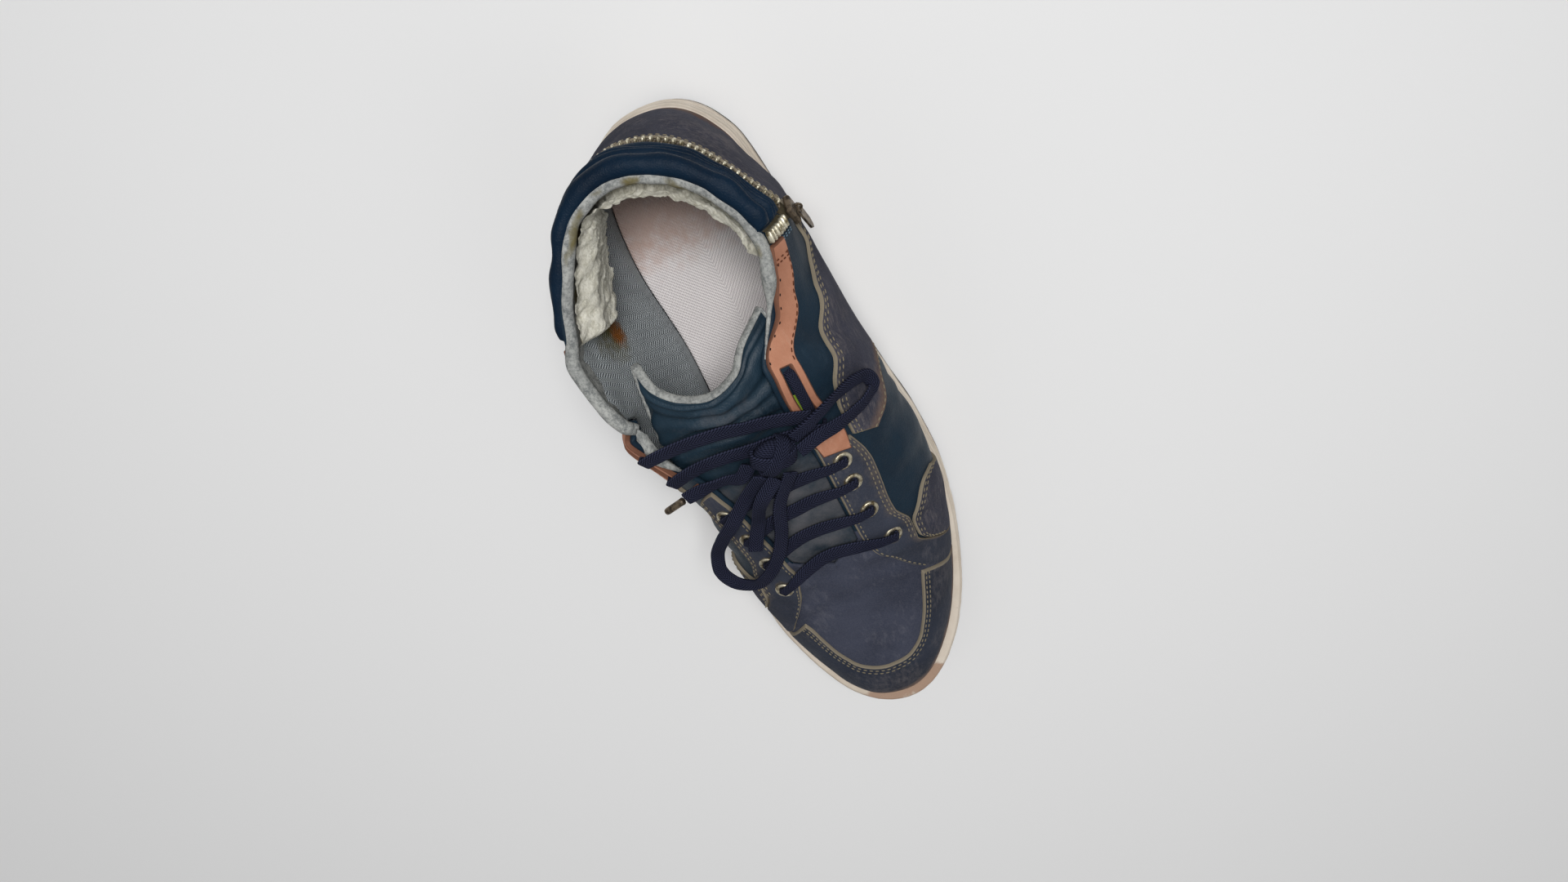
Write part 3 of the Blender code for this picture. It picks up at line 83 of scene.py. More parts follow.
INNER_SECTIONS = (
    (0.0, 0.0622, -0.057, 1.0, -2, 0.34, 80, 0.34, 1.0),
    (0.1, 0.077, -0.212, 1.0, 2, 0.34, 84, 0.34, 1.0),
    (0.2, 0.1401, -0.354, 0.996, 7, 0.34, 86, 0.34, 1.0),
    (0.27, 0.2003, -0.443, 0.987, 12, 0.38, 92, 0.34, 1.0),
    (0.33, 0.2565, -0.472, 0.978, 14, 0.42, 90, 0.3, 1.0),
    (0.39, 0.3325, -0.434, 0.969, 18, 0.46, 84, 0.34, 0.99),
    (0.42, 0.3394, -0.415, 0.98, 20, 0.48, 76, 0.36, 0.95),
    (0.435, 0.3453, -0.24, 1.025, 21, 0.52, 30, 0.56, 0.83),
    (0.45, 0.3463, -0.057, 1.058, 22, 0.54, 0, 0.66, 0.675),
    (0.5, 0.4194, -0.061, 0.955, 20, 0.5, 0, 0.6, 0.7),
    (0.55, 0.4953, -0.059, 0.857, 14, 0.44, 0, 0.5, 0.75),
    (0.6, 0.5723, -0.053, 0.767, 8, 0.44, 0, 0.46, 0.79),
    (0.64, 0.6364, -0.047, 0.697, 2, 0.44, 0, 0.46, 0.81),
    (0.67, 0.6789, -0.043, 0.653, -3, 0.44, 0, 0.46, 1.0),
    (0.7, 0.7154, -0.045, 0.615, -7, 0.43, 0, 0.46, 1.0),
    (0.8, 0.7844, -0.052, 0.549, -10, 0.36, 0, 0.46, 1.0),
    (0.9, 0.8249, -0.057, 0.517, -15, 0.28, 0, 0.5, 1.0),
    (1.0, 0.8417, -0.058, 0.504, -24, 0.23, 0, 0.5, 1.0))

# Panels: turn, low climb, high climb.
ZIP_LINE = (
    (-0.27, 0.7), (-0.24, 0.752), (-0.2, 0.748), (-0.15, 0.712), (-0.1, 0.672),
    (-0.05, 0.64), (0.0, 0.625), (0.05, 0.638), (0.1, 0.668), (0.15, 0.71),
    (0.2, 0.75), (0.235, 0.762), (0.262, 0.735), (0.272, 0.705), (0.289, 0.625))
COUNTER = (
    (-0.286, 0.004, 0.575), (-0.27, 0.004, 0.654), (-0.24, 0.004, 0.706),
    (-0.2, 0.004, 0.702), (-0.15, 0.004, 0.666), (-0.1, 0.004, 0.626),
    (-0.05, 0.004, 0.594), (0.0, 0.004, 0.579), (0.05, 0.004, 0.592),
    (0.1, 0.004, 0.622), (0.15, 0.004, 0.664), (0.2, 0.004, 0.704),
    (0.235, 0.004, 0.716), (0.262, 0.004, 0.689), (0.272, 0.004, 0.659),
    (0.289, 0.004, 0.579))
STRAP_OUTER = (
    (0.291, 0.004, 0.5), (0.323, 0.004, 0.502), (0.355, 0.004, 0.57),
    (0.385, 0.004, 0.615), (0.413, 0.004, 0.6), (0.438, 0.01, 0.585),
    (0.456, 0.22, 0.582), (0.485, 0.36, 0.64), (0.512, 0.428, 0.668),
    (0.538, 0.562, 0.672))
STRAP_INNER = (
    (0.288, 0.004, 0.5), (0.323, 0.004, 0.49), (0.355, 0.004, 0.48),
    (0.385, 0.004, 0.47), (0.413, 0.004, 0.46), (0.44, 0.012, 0.45),
    (0.458, 0.19, 0.45), (0.485, 0.29, 0.47), (0.512, 0.36, 0.51),
    (0.532, 0.46, 0.55))
PATCH_OUTER = (
    (0.586, 0.004, 0.29), (0.598, 0.004, 0.4), (0.61, 0.004, 0.46),
    (0.636, 0.004, 0.536), (0.65, 0.004, 0.53), (0.657, 0.004, 0.47),
    (0.661, 0.004, 0.32), (0.665, 0.004, 0.1))
PATCH_INNER = (
    (0.588, 0.004, 0.27), (0.6, 0.004, 0.37), (0.612, 0.004, 0.425),
    (0.636, 0.004, 0.5), (0.65, 0.004, 0.496), (0.657, 0.004, 0.44),
    (0.661, 0.004, 0.3), (0.665, 0.004, 0.1))
EYESTAY_OUTER = (
    (0.538, 0.682, 0.828), (0.552, 0.655, 0.83), (0.565, 0.646, 0.833),
    (0.6, 0.646, 0.838), (0.617, 0.63, 0.838), (0.63, 0.56, 0.836),
    (0.64, 0.543, 0.832), (0.652, 0.543, 0.822), (0.658, 0.49, 0.808),
    (0.663, 0.32, 0.785), (0.668, 0.06, 0.742), (0.678, 0.004, 0.68),
    (0.69, 0.004, 0.54), (0.696, 0.004, 0.34))
EYESTAY_INNER = (
    (0.54, 0.59, 0.736), (0.565, 0.585, 0.762), (0.6, 0.6, 0.786),
    (0.617, 0.59, 0.796), (0.63, 0.535, 0.804), (0.64, 0.515, 0.806),
    (0.652, 0.515, 0.806), (0.658, 0.455, 0.798), (0.663, 0.32, 0.785),
    (0.669, 0.06, 0.765), (0.68, 0.004, 0.722), (0.694, 0.004, 0.605),
    (0.706, 0.004, 0.42))
TOE_GUARD = (
    (0.699, 0.004, 0.545), (0.73, 0.004, 0.55), (0.77, 0.004, 0.55),
    (0.825, 0.004, 0.56), (0.893, 0.004, 0.63), (1.0, 0.004, 0.735),
    (1.095, 0.004, 0.688), (1.155, 0.004, 0.625), (1.215, 0.004, 0.594),
    (1.27, 0.004, 0.6), (1.289, 0.004, 0.585))
TAN_OUTER = (
    (0.292, 0.86, 0.992), (0.308, 0.845, 0.99), (0.34, 0.825, 0.968),
    (0.367, 0.806, 0.936), (0.39, 0.77, 0.893), (0.42, 0.731, 0.85),
    (0.45, 0.719, 0.823), (0.485, 0.719, 0.83), (0.512, 0.7, 0.83),
    (0.53, 0.69, 0.828), (0.548, 0.704, 0.82))
TAN_INNER = (
    (0.29, 0.885, 0.992), (0.33, 0.875, 0.99), (0.36, 0.865, 0.985),
    (0.39, 0.85, 0.978), (0.42, 0.815, 0.938), (0.435, 0.7, 0.806),
    (0.45, 0.57, 0.668), (0.485, 0.58, 0.684), (0.51, 0.6, 0.702),
    (0.538, 0.62, 0.728))
EYELETS_OUTER = ((0.643, 0.68), (0.61, 0.752), (0.58, 0.765), (0.556, 0.762))
EYELETS_INNER = ((0.656, 0.69), (0.627, 0.722), (0.597, 0.722), (0.567, 0.7))

# Places rubbed brown low on the heel, in metres.
HEEL_RUBS = ((-0.01, 0.035, 0.036), (-0.002, 0.037, 0.033), (-0.022, 0.027, 0.037))

# Main creases on the last: turn and climb of both ends, width and depth in mm.
CREASES = (
    (0.655, 0.93, 0.625, 0.3, 4.0, 0.9), (0.69, 0.96, 0.668, 0.4, 4.5, 0.8),
    (0.72, 0.98, 0.712, 0.6, 4.0, 0.5), (-0.655, 0.93, -0.63, 0.3, 4.0, 0.9),
    (-0.69, 0.96, -0.672, 0.4, 4.5, 0.8), (-0.722, 0.98, -0.716, 0.6, 4.0, 0.5),
    (0.56, 0.6, 0.5, 0.1, 5.0, 1.0), (0.59, 0.58, 0.556, 0.16, 4.0, 0.8),
    (0.52, 0.44, 0.47, 0.06, 5.0, 0.8), (0.415, 0.76, 0.44, 0.4, 5.0, 1.0),
    (0.365, 0.74, 0.35, 0.34, 6.0, 0.9), (0.32, 0.7, 0.3, 0.3, 5.0, 0.6),
    (-0.56, 0.56, -0.51, 0.1, 5.0, 1.0), (-0.6, 0.5, -0.575, 0.12, 4.0, 0.8),
    (-0.48, 0.52, -0.43, 0.12, 6.0, 1.2), (-0.4, 0.86, -0.37, 0.4, 6.0, 1.0),
    (-0.33, 0.8, -0.31, 0.34, 5.0, 0.8), (-0.13, 0.5, 0.02, 0.42, 5.0, 0.5),
    (0.06, 0.46, 0.18, 0.54, 5.0, 0.6), (-0.23, 0.52, -0.15, 0.3, 6.0, 0.6),
    (0.24, 0.5, 0.2, 0.2, 6.0, 0.6), (0.8, 0.86, -0.87, 0.9, 6.0, 0.5),
    (0.76, 0.92, 0.9, 0.97, 5.0, 0.35), (-0.75, 0.92, -0.86, 0.97, 5.0, 0.35))


def tint(red: float, green: float, blue: float) -> Colour:
    """Linear colour from screen values of 0 to 255."""
    values = np.array([red, green, blue]) / 255
    return tuple(float(v) for v in np.where(values > 0.04045, ((values + 0.055) / 1.055) ** 2.4,
        values / 12.92))


def hermite(places: Array, rows: Array, slope: Array, at: Array) -> Array:
    """Cubic curve through rows with given slopes at increasing places.

    Args:
        places: increasing places of the rows.
        rows: one value or one row of values per place.
        slope: slope at each row.
        at: places to read.

    Returns:
        The values at those places.
    """
    i = np.clip(np.searchsorted(places, at, side="right") - 1, 0, len(places) - 2)
    h = np.diff(places)[i]
    u = (at - places[i]) / h
    if rows.ndim > 1:
        u, h = u[..., None], h[..., None]
    u2, u3 = u * u, u * u * u
    return (rows[i] * (2 * u3 - 3 * u2 + 1) + slope[i] * h * (u3 - 2 * u2 + u) + rows[i + 1]
        * (3 * u2 - 2 * u3) + slope[i + 1] * h * (u3 - u2))


def smooth_rows(places: Array, rows: Array, at: Array) -> Array:
    """Read a table as a smooth curve that never overshoots a row.

    Each span is a cubic whose end slopes are the harmonic means of the rates beside
    it, and zero where the rates change sign.

    Args:
        places: increasing places of the rows.
        rows: one value or one row of values per place.
        at: places to read.

    Returns:
        The values at those places.
    """
    places, rows, at = (np.asarray(v, float) for v in (places, rows, at))
    step = np.diff(places)
    width = step.reshape((-1,) + (1,) * (rows.ndim - 1))
    rate = np.diff(rows, axis=0) / width
    slope = np.zeros_like(rows)
    slope[0], slope[-1] = rate[0], rate[-1]
    before, after = rate[:-1], rate[1:]
    same = before * after > 0
    near, far = 2 * width[1:] + width[:-1], width[1:] + 2 * width[:-1]
    mean = near / np.where(same, before, 1) + far / np.where(same, after, 1)
    slope[1:-1] = np.where(same, (near + far) / np.where(mean == 0, 1, mean), 0)
    return hermite(places, rows, slope, at)


def wrap(turn: Array) -> Array:
    """Bring a turn into -1 to 1."""
    return (np.asarray(turn, float) + 1) % 2 - 1


def unit(vectors: Array) -> Array:
    """Vectors scaled to length 1."""
    return vectors / np.maximum(np.linalg.norm(vectors, axis=-1, keepdims=True), 1e-12)


def ramp(values: Array, low: float, high: float) -> Array:
    """Smooth step from 0 at low to 1 at high."""
    s = np.clip((values - low) / (high - low), 0, 1)
    return s * s * (3 - 2 * s)


def waves(points: Array, size: float, seed: int) -> Array:
    """Soft even noise from -1 to 1: a mean of nine sine waves in fixed directions.

    Args:
        points: points, in metres.
        size: length of a wave, in metres.
        seed: number that sets the draw.

    Returns:
        One value per point.
    """
    rng = np.random.default_rng(seed)
    total = np.zeros(points.shape[:-1])
    for _ in range(9):
        direction = rng.normal(size=3)
        direction /= np.linalg.norm(direction)
        total += np.sin(points @ direction * (2 * math.pi / size) * rng.uniform(0.6, 1.6) + rng.uniform(0,
            6.28))
    return total / 3.6


@dataclass(frozen=True)
class LastSize:
    """Named sizes of the shoe, in metres, as in the solids."""

    length: float = 0.301
    ball_width: float = 0.106
    collar_height: float = 0.1115
    heel_set: float = 0.0402
    heel_wall: float = 0.0296
    fore_wall: float = 0.0242
    toe_spring: float = 0.0135
    arch_rise: float = 0.0016
    heel_bevel: float = 0.0012
    feather_inset: float = 0.0046
    toe_ledge: float = 0.0032
    wall: float = 0.0022
    floor_heel: float = 0.014
    floor_fore: float = 0.01
    insole: float = 0.004


class Last:
    """The form that every piece follows."""

    def __init__(self, size: LastSize) -> None:
        """Read the tables once.

        Args:
            size: sizes to use.
        """
        self.size = size
        self.edge_ring = self._ring(OUTER_EDGE, INNER_EDGE)
        self.section_ring = self._ring(OUTER_SECTIONS, INNER_SECTIONS)
        ridge = np.array([row for row in OUTER_SECTIONS if row[0] >= 0.45])
        self.ridge_x = ridge[:, 1] * size.length - size.heel_set
        self.ridge_z = ridge[:, 3] * size.collar_height
        self.creases = self._crease_lines()

    @staticmethod
    def _ring(outer: tuple, inner: tuple) -> Array:
        """Outer and inner rows as one table that closes on itself.

        Args:
            outer: the outer side's part.
            inner: the inner side's part.

        Returns:
            The table, three times round.
        """
        outer, inner = np.array(outer, float), np.array(inner, float)
        back = inner[:0:-1].copy()
        back[:, 0] *= -1
        once = np.vstack([back, outer[:-1]])
        shifts = np.array([-2.0, 0.0, 2.0])
        rows = np.concatenate([once + np.eye(1, once.shape[1]) * s for s in shifts])
        return rows

    def outline(self, turn: Array, inset: Array | float = 0.0) -> tuple[Array, Array]:
        """Plan of the sole's edge, moved inwards by inset, and its outward direction.

        Args:
            turn: turns round the shoe.
            inset: distance inwards, in metres.

        Returns:
            The points and the directions.
        """
        def edge(at: Array) -> Array:
            """Point of the edge.

            Args:
                at: turns to read.

            Returns:
                The points.
            """
            at = wrap(at)
            x = self.size.length * (1 - np.cos(np.pi * at)) / 2 - self.size.heel_set
            side = smooth_rows(self.edge_ring[:, 0], self.edge_ring[:, 1], at)
            return np.stack([x, self.size.ball_width * side], -1)

        along = edge(turn + 0.004) - edge(turn - 0.004)
        out = unit(np.stack([-along[..., 1], along[..., 0]], -1))
        return edge(turn) - out * np.asarray(inset)[..., None], out

    def share(self, x: Array) -> Array:
        """Distance from the heel as a share of the length."""
        return (x + self.size.heel_set) / self.size.length

    def spring(self, x: Array) -> Array:
        """Lift of the sole towards the toe."""
        return self.size.toe_spring * np.clip((self.share(x) - 0.624) / 0.376, 0, 1) ** 2

    def bottom(self, x: Array) -> Array:
        """Underside of the sole.

        Args:
            x: places along the shoe.

        Returns:
            Heights.
        """
        share = self.share(x)
        arch = np.clip((share - 0.3) / 0.19, 0, 1)
        back = np.clip((0.04 - share) / 0.04, 0, 1)
        return (self.spring(x) + self.size.arch_rise * np.sin(np.pi * arch) ** 2 + self.size.heel_bevel
            * back ** 2)

    def ease(self, x: Array) -> Array:
        """Smooth step from the heel to the forefoot."""
        return ramp(self.share(x), 0.07, 0.61)

    def wall_top(self, x: Array) -> Array:
        """Top of the rubber wall."""
        size = self.size
        return size.heel_wall + (size.fore_wall - size.heel_wall) * self.ease(x) + self.spring(x)

    def floor(self, x: Array) -> Array:
        """Floor inside the cup sole."""
        size = self.size
        return (size.floor_heel + (size.floor_fore - size.floor_heel) * self.ease(x) + self.spring(x))

    def feather(self, turn: Array) -> Array:
        """Inset of the upper's foot, which grows round the forefoot."""
        return self.size.feather_inset + self.size.toe_ledge * ramp(np.abs(wrap(turn)), 0.54, 0.82)

    def plain(self, turn: Array, climb: Array) -> Array:
        """Point of the last: a cubic curve from the feather line to the section's top.

        Args:
            turn: turns round the shoe.
            climb: climbs up the last.

        Returns:
            Points.
        """
        turn, climb = np.broadcast_arrays(np.asarray(turn, float), np.asarray(climb, float))
        plan, out = self.outline(turn, self.feather(turn))
        foot = np.concatenate([plan, self.wall_top(plan[..., 0])[..., None]], -1)
        row = smooth_rows(self.section_ring[:, 0], self.section_ring[:, 1:], wrap(turn))
        size = self.size
        top = (row[..., 0:3] * (size.length, size.ball_width, size.collar_height) - (size.heel_set, 0, 0))
        lean, rise = np.radians(row[..., 3]), np.radians(row[..., 5])
        chord = np.linalg.norm(top - foot, axis=-1)
        leave = np.stack([np.sin(lean) * out[..., 0], np.sin(lean) * out[..., 1], np.cos(lean)], -1)
        fall = np.interp(top[..., 0], (self.ridge_x[1:] + self.ridge_x[:-1]) / 2,
            np.diff(self.ridge_z) / np.diff(self.ridge_x))
        arrive = np.stack([-np.cos(rise) * out[..., 0], -np.cos(rise) * out[..., 1],
            np.sin(rise) - np.cos(rise) * out[..., 0] * fall], -1)
        first = foot + leave * (row[..., 4] * chord)[..., None]
        second = top - arrive * (row[..., 6] * chord)[..., None]
        c = climb[..., None]
        return ((1 - c) ** 3 * foot + 3 * (1 - c) ** 2 * c * first + 3 * (1 - c) * c ** 2
            * second + c ** 3 * top)

    def normal(self, turn: Array, climb: Array) -> Array:
        """Outward direction of the last, from small steps both ways.

        Args:
            turn: turns round the shoe.
            climb: climbs up the last.

        Returns:
            Unit vectors.
        """
        small = 0.003
        turn = np.asarray(turn, float)
        climb = np.clip(np.asarray(climb, float), small, 1 - small)
        along = self.plain(turn + small, climb) - self.plain(turn - small, climb)
        up = self.plain(turn, climb + small) - self.plain(turn, climb - small)
        return unit(np.cross(up, along))

    def at(self, turn: Array, climb: Array, offset: Array | float = 0.0) -> Array:
        """Point at a distance outside the worn last, creases and dents included.

        Args:
            turn: turns round the shoe.
            climb: climbs up the last.
            offset: distance outside the last, in metres.

        Returns:
            Points.
        """
        turn, climb = np.broadcast_arrays(np.asarray(turn, float), np.asarray(climb, float))
        base = self.plain(turn, climb)
        lift = np.asarray(offset) + self.relief(base, turn, climb)
        return base + self.normal(turn, climb) * lift[..., None]

    def edge(self, turn: Array) -> Array:
        """Climb at which the upper is cut."""
        row = smooth_rows(self.section_ring[:, 0], self.section_ring[:, 8], wrap(turn))
        return np.minimum(row, 1.0)

    def per_climb(self, turn: Array) -> Array:
        """Metres up the last for one unit of climb.

        Args:
            turn: turns round the shoe.

        Returns:
            Metres.
        """
        turn = np.asarray(turn, float)
        step = self.plain(turn, np.full(turn.shape, 0.75)) - self.plain(turn, np.full(turn.shape, 0.55))
        return np.linalg.norm(step, axis=-1) / 0.2

    def _crease_lines(self) -> Array:
        """Creases as seven points each, with their width and depth.

        Returns:
            Points, by crease.
        """
        table = np.array(CREASES)
        s = np.linspace(0, 1, 7)
        turns = table[:, [0]] + wrap(table[:, [2]] - table[:, [0]]) * s
        climbs = table[:, [1]] + (table[:, [3]] - table[:, [1]]) * s
        return self.plain(turns, climbs)

    def relief(self, points: Array, turn: Array, climb: Array) -> Array:
        """Height of the wear: a trough with soft ridges beside it for each crease.

        A crease's depth follows exp(-q^2) - 0.45 exp(-(q - 1.7)^2) of the distance q
        in widths, and fades at its ends.  Wide dents of about 0.4 mm are added.

        Args:
            points: points, in metres.
            turn: not used.
            climb: climbs up the last.

        Returns:
            Heights, in metres.
        """
        flat = points.reshape(-1, 3)
        total = np.zeros(len(flat))
        for line, row in zip(self.creases, np.array(CREASES)):
            reach = row[4] * 0.001
            near = np.linalg.norm(flat - line[3],
                axis=1) < reach * 4 + np.linalg.norm(line[0] - line[6]) * 0.75
            some = flat[near] + 0.0012 * waves(flat[near], 0.02, 5)[:, None]
            best = np.full(len(some), 1.0)
            place = np.zeros(len(some))
            for k in range(6):
                edge = line[k + 1] - line[k]
                s = np.clip(((some - line[k]) @ edge) / (edge @ edge), 0, 1)
                gap = np.linalg.norm(some - line[k] - s[:, None] * edge, axis=1)
                place = np.where(gap < best, (k + s) / 6, place)
                best = np.minimum(best, gap)
            q = best / reach
            fade = ramp(place, 0.0, 0.25) * ramp(1 - place, 0.0, 0.25)
            shape = np.exp(-q ** 2) - 0.45 * np.exp(-(q - 1.7) ** 2)
            total[near] -= row[5] * 0.001 * fade * shape
        total += 0.0003 * waves(flat, 0.055, 1) + 0.00014 * waves(flat, 0.018, 2)
        hold = ramp(np.asarray(climb).reshape(-1), 0.0, 0.1)
        return (total * hold).reshape(points.shape[:-1])


class Side(Enum):
    """Which side of the shoe a panel lies on."""

    OUTER = 1
    INNER = -1


class Graph:
    """Adds and links the nodes of one shader tree."""

    def __init__(self, tree: bpy.types.NodeTree) -> None:
        """Work in the given tree."""
        self.tree = tree

    def add(self, kind: str, inputs: dict | None = None, **settings: object) -> bpy.types.Node:
        """Add a node, set or link its inputs, and return it.

        Args:
            kind: the node's type.
            inputs: value or link per input.
            settings: other properties of the node.

        Returns:
            The node.
        """
        node = self.tree.nodes.new(kind)
        for key, value in settings.items():
            setattr(node, key, value)
        self.feed(node, inputs or {})
        return node

    def feed(self, node: bpy.types.Node, inputs: dict) -> None:
        """Set or link some of a node's inputs.

        Args:
            node: the node.
            inputs: value or link per input.
        """
        for key, value in inputs.items():
            socket = node.inputs[key]
            if isinstance(value, bpy.types.NodeSocket):
                self.tree.links.new(value, socket)
            else:
                socket.default_value = value

    def place(self) -> bpy.types.NodeSocket:
        """Object coordinates."""
        return self.add("ShaderNodeTexCoord").outputs["Object"]

    def noise(self, scale: float, detail: float = 3.0, rough: float = 0.5,
            vector: bpy.types.NodeSocket | None = None) -> bpy.types.NodeSocket:
        """Noise value, by default in object coordinates."""
        vector = vector or self.place()
        return self.add("ShaderNodeTexNoise", {"Vector": vector, "Scale": scale, "Detail": detail,
            "Roughness": rough}).outputs["Fac"]

    def step(self, value: object, low: float, high: float, first: float = 0.0,
            last: float = 1.0) -> bpy.types.NodeSocket:
        """Smooth step of a value from low to high."""
        return self.add("ShaderNodeMapRange", {"Value": value, "From Min": low, "From Max": high,
            "To Min": first, "To Max": last}, interpolation_type="SMOOTHSTEP").outputs["Result"]

    def math(self, operation: str, first: object, second: object = 0.0) -> bpy.types.NodeSocket:
        """One maths node."""
        return self.add("ShaderNodeMath", {0: first, 1: second}, operation=operation).outputs[0]

    def ragged(self, mask: object, scale: float, detail: float, rough: float, share: float, low: float,
            high: float) -> bpy.types.NodeSocket:
        """Smooth step of a mask plus a share of noise, so that its edge breaks up."""
        fray = self.math("MULTIPLY", self.noise(scale, detail, rough), share)
        return self.step(self.math("ADD", mask, fray), low, high)

    def mix(self, factor: object, first: object, second: object) -> bpy.types.NodeSocket:
        """Mix of two colours.

        Args:
            factor: share of the second colour.
            first: first colour.
            second: second colour.

        Returns:
            The colour.
        """
        def full(value: object) -> object:
            """Colour with its alpha."""
            return value if isinstance(value, bpy.types.NodeSocket) else (*value, 1.0)
        return self.add("ShaderNodeMix", {0: factor, 6: full(first), 7: full(second)},
            data_type="RGBA").outputs[2]

    def bump(self, height: object, strength: float, distance: float,
            normal: bpy.types.NodeSocket | None = None) -> bpy.types.NodeSocket:
        """Bump from a height, on top of another normal if given.

        Args:
            height: height at each spot, 0 to 1.
            strength: strength of the bump.
            distance: its height, in metres.
            normal: normal under it.

        Returns:
            The normal.
        """
        inputs = {"Height": height, "Strength": strength, "Distance": distance}
        if normal is not None:
            inputs["Normal"] = normal
        return self.add("ShaderNodeBump", inputs).outputs["Normal"]

    def marks(self) -> tuple[bpy.types.NodeSocket, ...]:
        """The piece's own wear values: bare edge, dirt and stain.

        Returns:
            The three values.
        """
        attribute = self.add("ShaderNodeAttribute", attribute_name="marks")
        split = self.add("ShaderNodeSeparateColor", {"Color": attribute.outputs["Color"]})
        return tuple(split.outputs[k] for k in range(3))

    def group(self, tree: bpy.types.NodeTree, **inputs: object) -> bpy.types.Node:
        """Use a node group."""
        return self.add("ShaderNodeGroup", inputs, node_tree=tree)


class Effects:
    """Node groups that several materials share."""

    def __init__(self) -> None:
        """Build every group once."""
        self.grain = self._grain()
        self.scuffs = self._scuffs()
        self.weave = self._weave()
        self.braid = self._braid()

    @staticmethod
    def _start(name: str, inputs: dict[str, float], outputs: tuple[str, ...]) -> tuple:
        """New group with number sockets; returns its tree, graph, input and output nodes.

        Args:
            name: name to give.
            inputs: default value per input.
            outputs: names of the outputs.

        Returns:
            The tree, its graph, and its input and output nodes.
        """
        tree = bpy.data.node_groups.new(name, "ShaderNodeTree")
        for key, value in inputs.items():
            socket = tree.interface.new_socket(name=key, in_out="INPUT", socket_type="NodeSocketFloat")
            socket.default_value = value
        for key in outputs:
            tree.interface.new_socket(name=key, in_out="OUTPUT", socket_type="NodeSocketFloat")
        return tree, Graph(tree), tree.nodes.new("NodeGroupInput"), tree.nodes.new("NodeGroupOutput")

    def _grain(self) -> bpy.types.NodeTree:
        """Pebbled leather grain: rounded cells with fine noise on them.

        Returns:
            The group.
        """
        tree, g, source, sink = self._start("leather_grain", {"Scale": 900.0}, ("Height",))
        bent = g.add("ShaderNodeVectorMath", {0: g.place(), 1: (0.0, 0.0, 0.0)}, operation="ADD")
        wobble = g.add("ShaderNodeTexNoise", {"Vector": g.place(), "Scale": 260.0})
        lift = g.add("ShaderNodeVectorMath", {0: wobble.outputs["Color"], 3: 0.0016}, operation="SCALE")
        tree.links.new(lift.outputs[0], bent.inputs[1])
        cells = g.add("ShaderNodeTexVoronoi", {"Vector": bent.outputs[0], "Scale": source.outputs["Scale"]},
            feature="DISTANCE_TO_EDGE")
        raised = g.step(cells.outputs["Distance"], 0.0, 0.28)
        fine = g.noise(3200.0, 2.0)
        total = g.math("ADD", raised, g.math("MULTIPLY", fine, 0.35))
        tree.links.new(total, sink.inputs["Height"])
        return tree

    def _scuffs(self) -> bpy.types.NodeTree:
        """Scuffs and fine scratches: stretched noise cut by large patches.

        Returns:
            The group.
        """
        tree, g, source, sink = self._start("scuffs", {"Amount": 0.5}, ("Mask",))
        stretch = g.add("ShaderNodeMapping", {"Vector": g.place(), "Scale": (0.35, 1.0, 1.3),
            "Rotation": (0.3, 0.5, 0.6)})
        streaks = g.noise(520.0, 6.0, 0.72, stretch.outputs[0])
        patches = g.noise(34.0, 4.0, 0.6)
        limit = g.math("SUBTRACT", 0.86, g.math("MULTIPLY", source.outputs["Amount"], 0.36))
        total = g.math("ADD", g.math("MULTIPLY", streaks, 0.55), g.math("MULTIPLY", patches, 0.55))
        over = g.math("SUBTRACT", total, limit)
        tree.links.new(g.step(over, -0.16, 0.06), sink.inputs["Mask"])
        return tree

    def _weave(self) -> bpy.types.NodeTree:
        """Herringbone cloth in the piece's own UV, which is in millimetres.

        Returns:
            The group.
        """
        tree, g, source, sink = self._start("herringbone", {"Pitch": 0.9}, ("Height",))
        uv = g.add("ShaderNodeTexCoord").outputs["UV"]
        split = g.add("ShaderNodeSeparateXYZ", {"Vector": uv})
        across = g.math("DIVIDE", split.outputs["X"], 4.6)
        zigzag = g.math("PINGPONG", across, 0.5)
        lean = g.math("ADD", split.outputs["Y"], g.math("MULTIPLY", zigzag, 6.0))
        thread = g.math("SINE", g.math("MULTIPLY", g.math("DIVIDE", lean, source.outputs["Pitch"]), 6.2832))
        other = g.math("SINE", g.math("MULTIPLY", split.outputs["X"], 9.0))
        total = g.math("ADD", g.math("MULTIPLY", thread, 0.5), g.math("MULTIPLY", other, 0.2))
        tree.links.new(total, sink.inputs["Height"])
        return tree

    def _braid(self) -> bpy.types.NodeTree:
        """Flat braid of a lace in UV: strands that lean both ways from the middle.

        Returns:
            The group.
        """
        tree, g, source, sink = self._start("lace_braid", {"Pitch": 1.1}, ("Height",))
        uv = g.add("ShaderNodeTexCoord").outputs["UV"]
        split = g.add("ShaderNodeSeparateXYZ", {"Vector": uv})
        across = g.math("ABSOLUTE", split.outputs["X"])
        lean = g.math("ADD", split.outputs["Y"], g.math("MULTIPLY", across, 1.1))
        wave = g.math("SINE", g.math("MULTIPLY", g.math("DIVIDE", lean, source.outputs["Pitch"]), 6.2832))
        ribs = g.math("SINE", g.math("MULTIPLY", split.outputs["X"], 7.5))
        total = g.math("ADD", g.math("MULTIPLY", wave, 0.5), g.math("MULTIPLY", ribs, 0.35))
        tree.links.new(total, sink.inputs["Height"])
        return tree


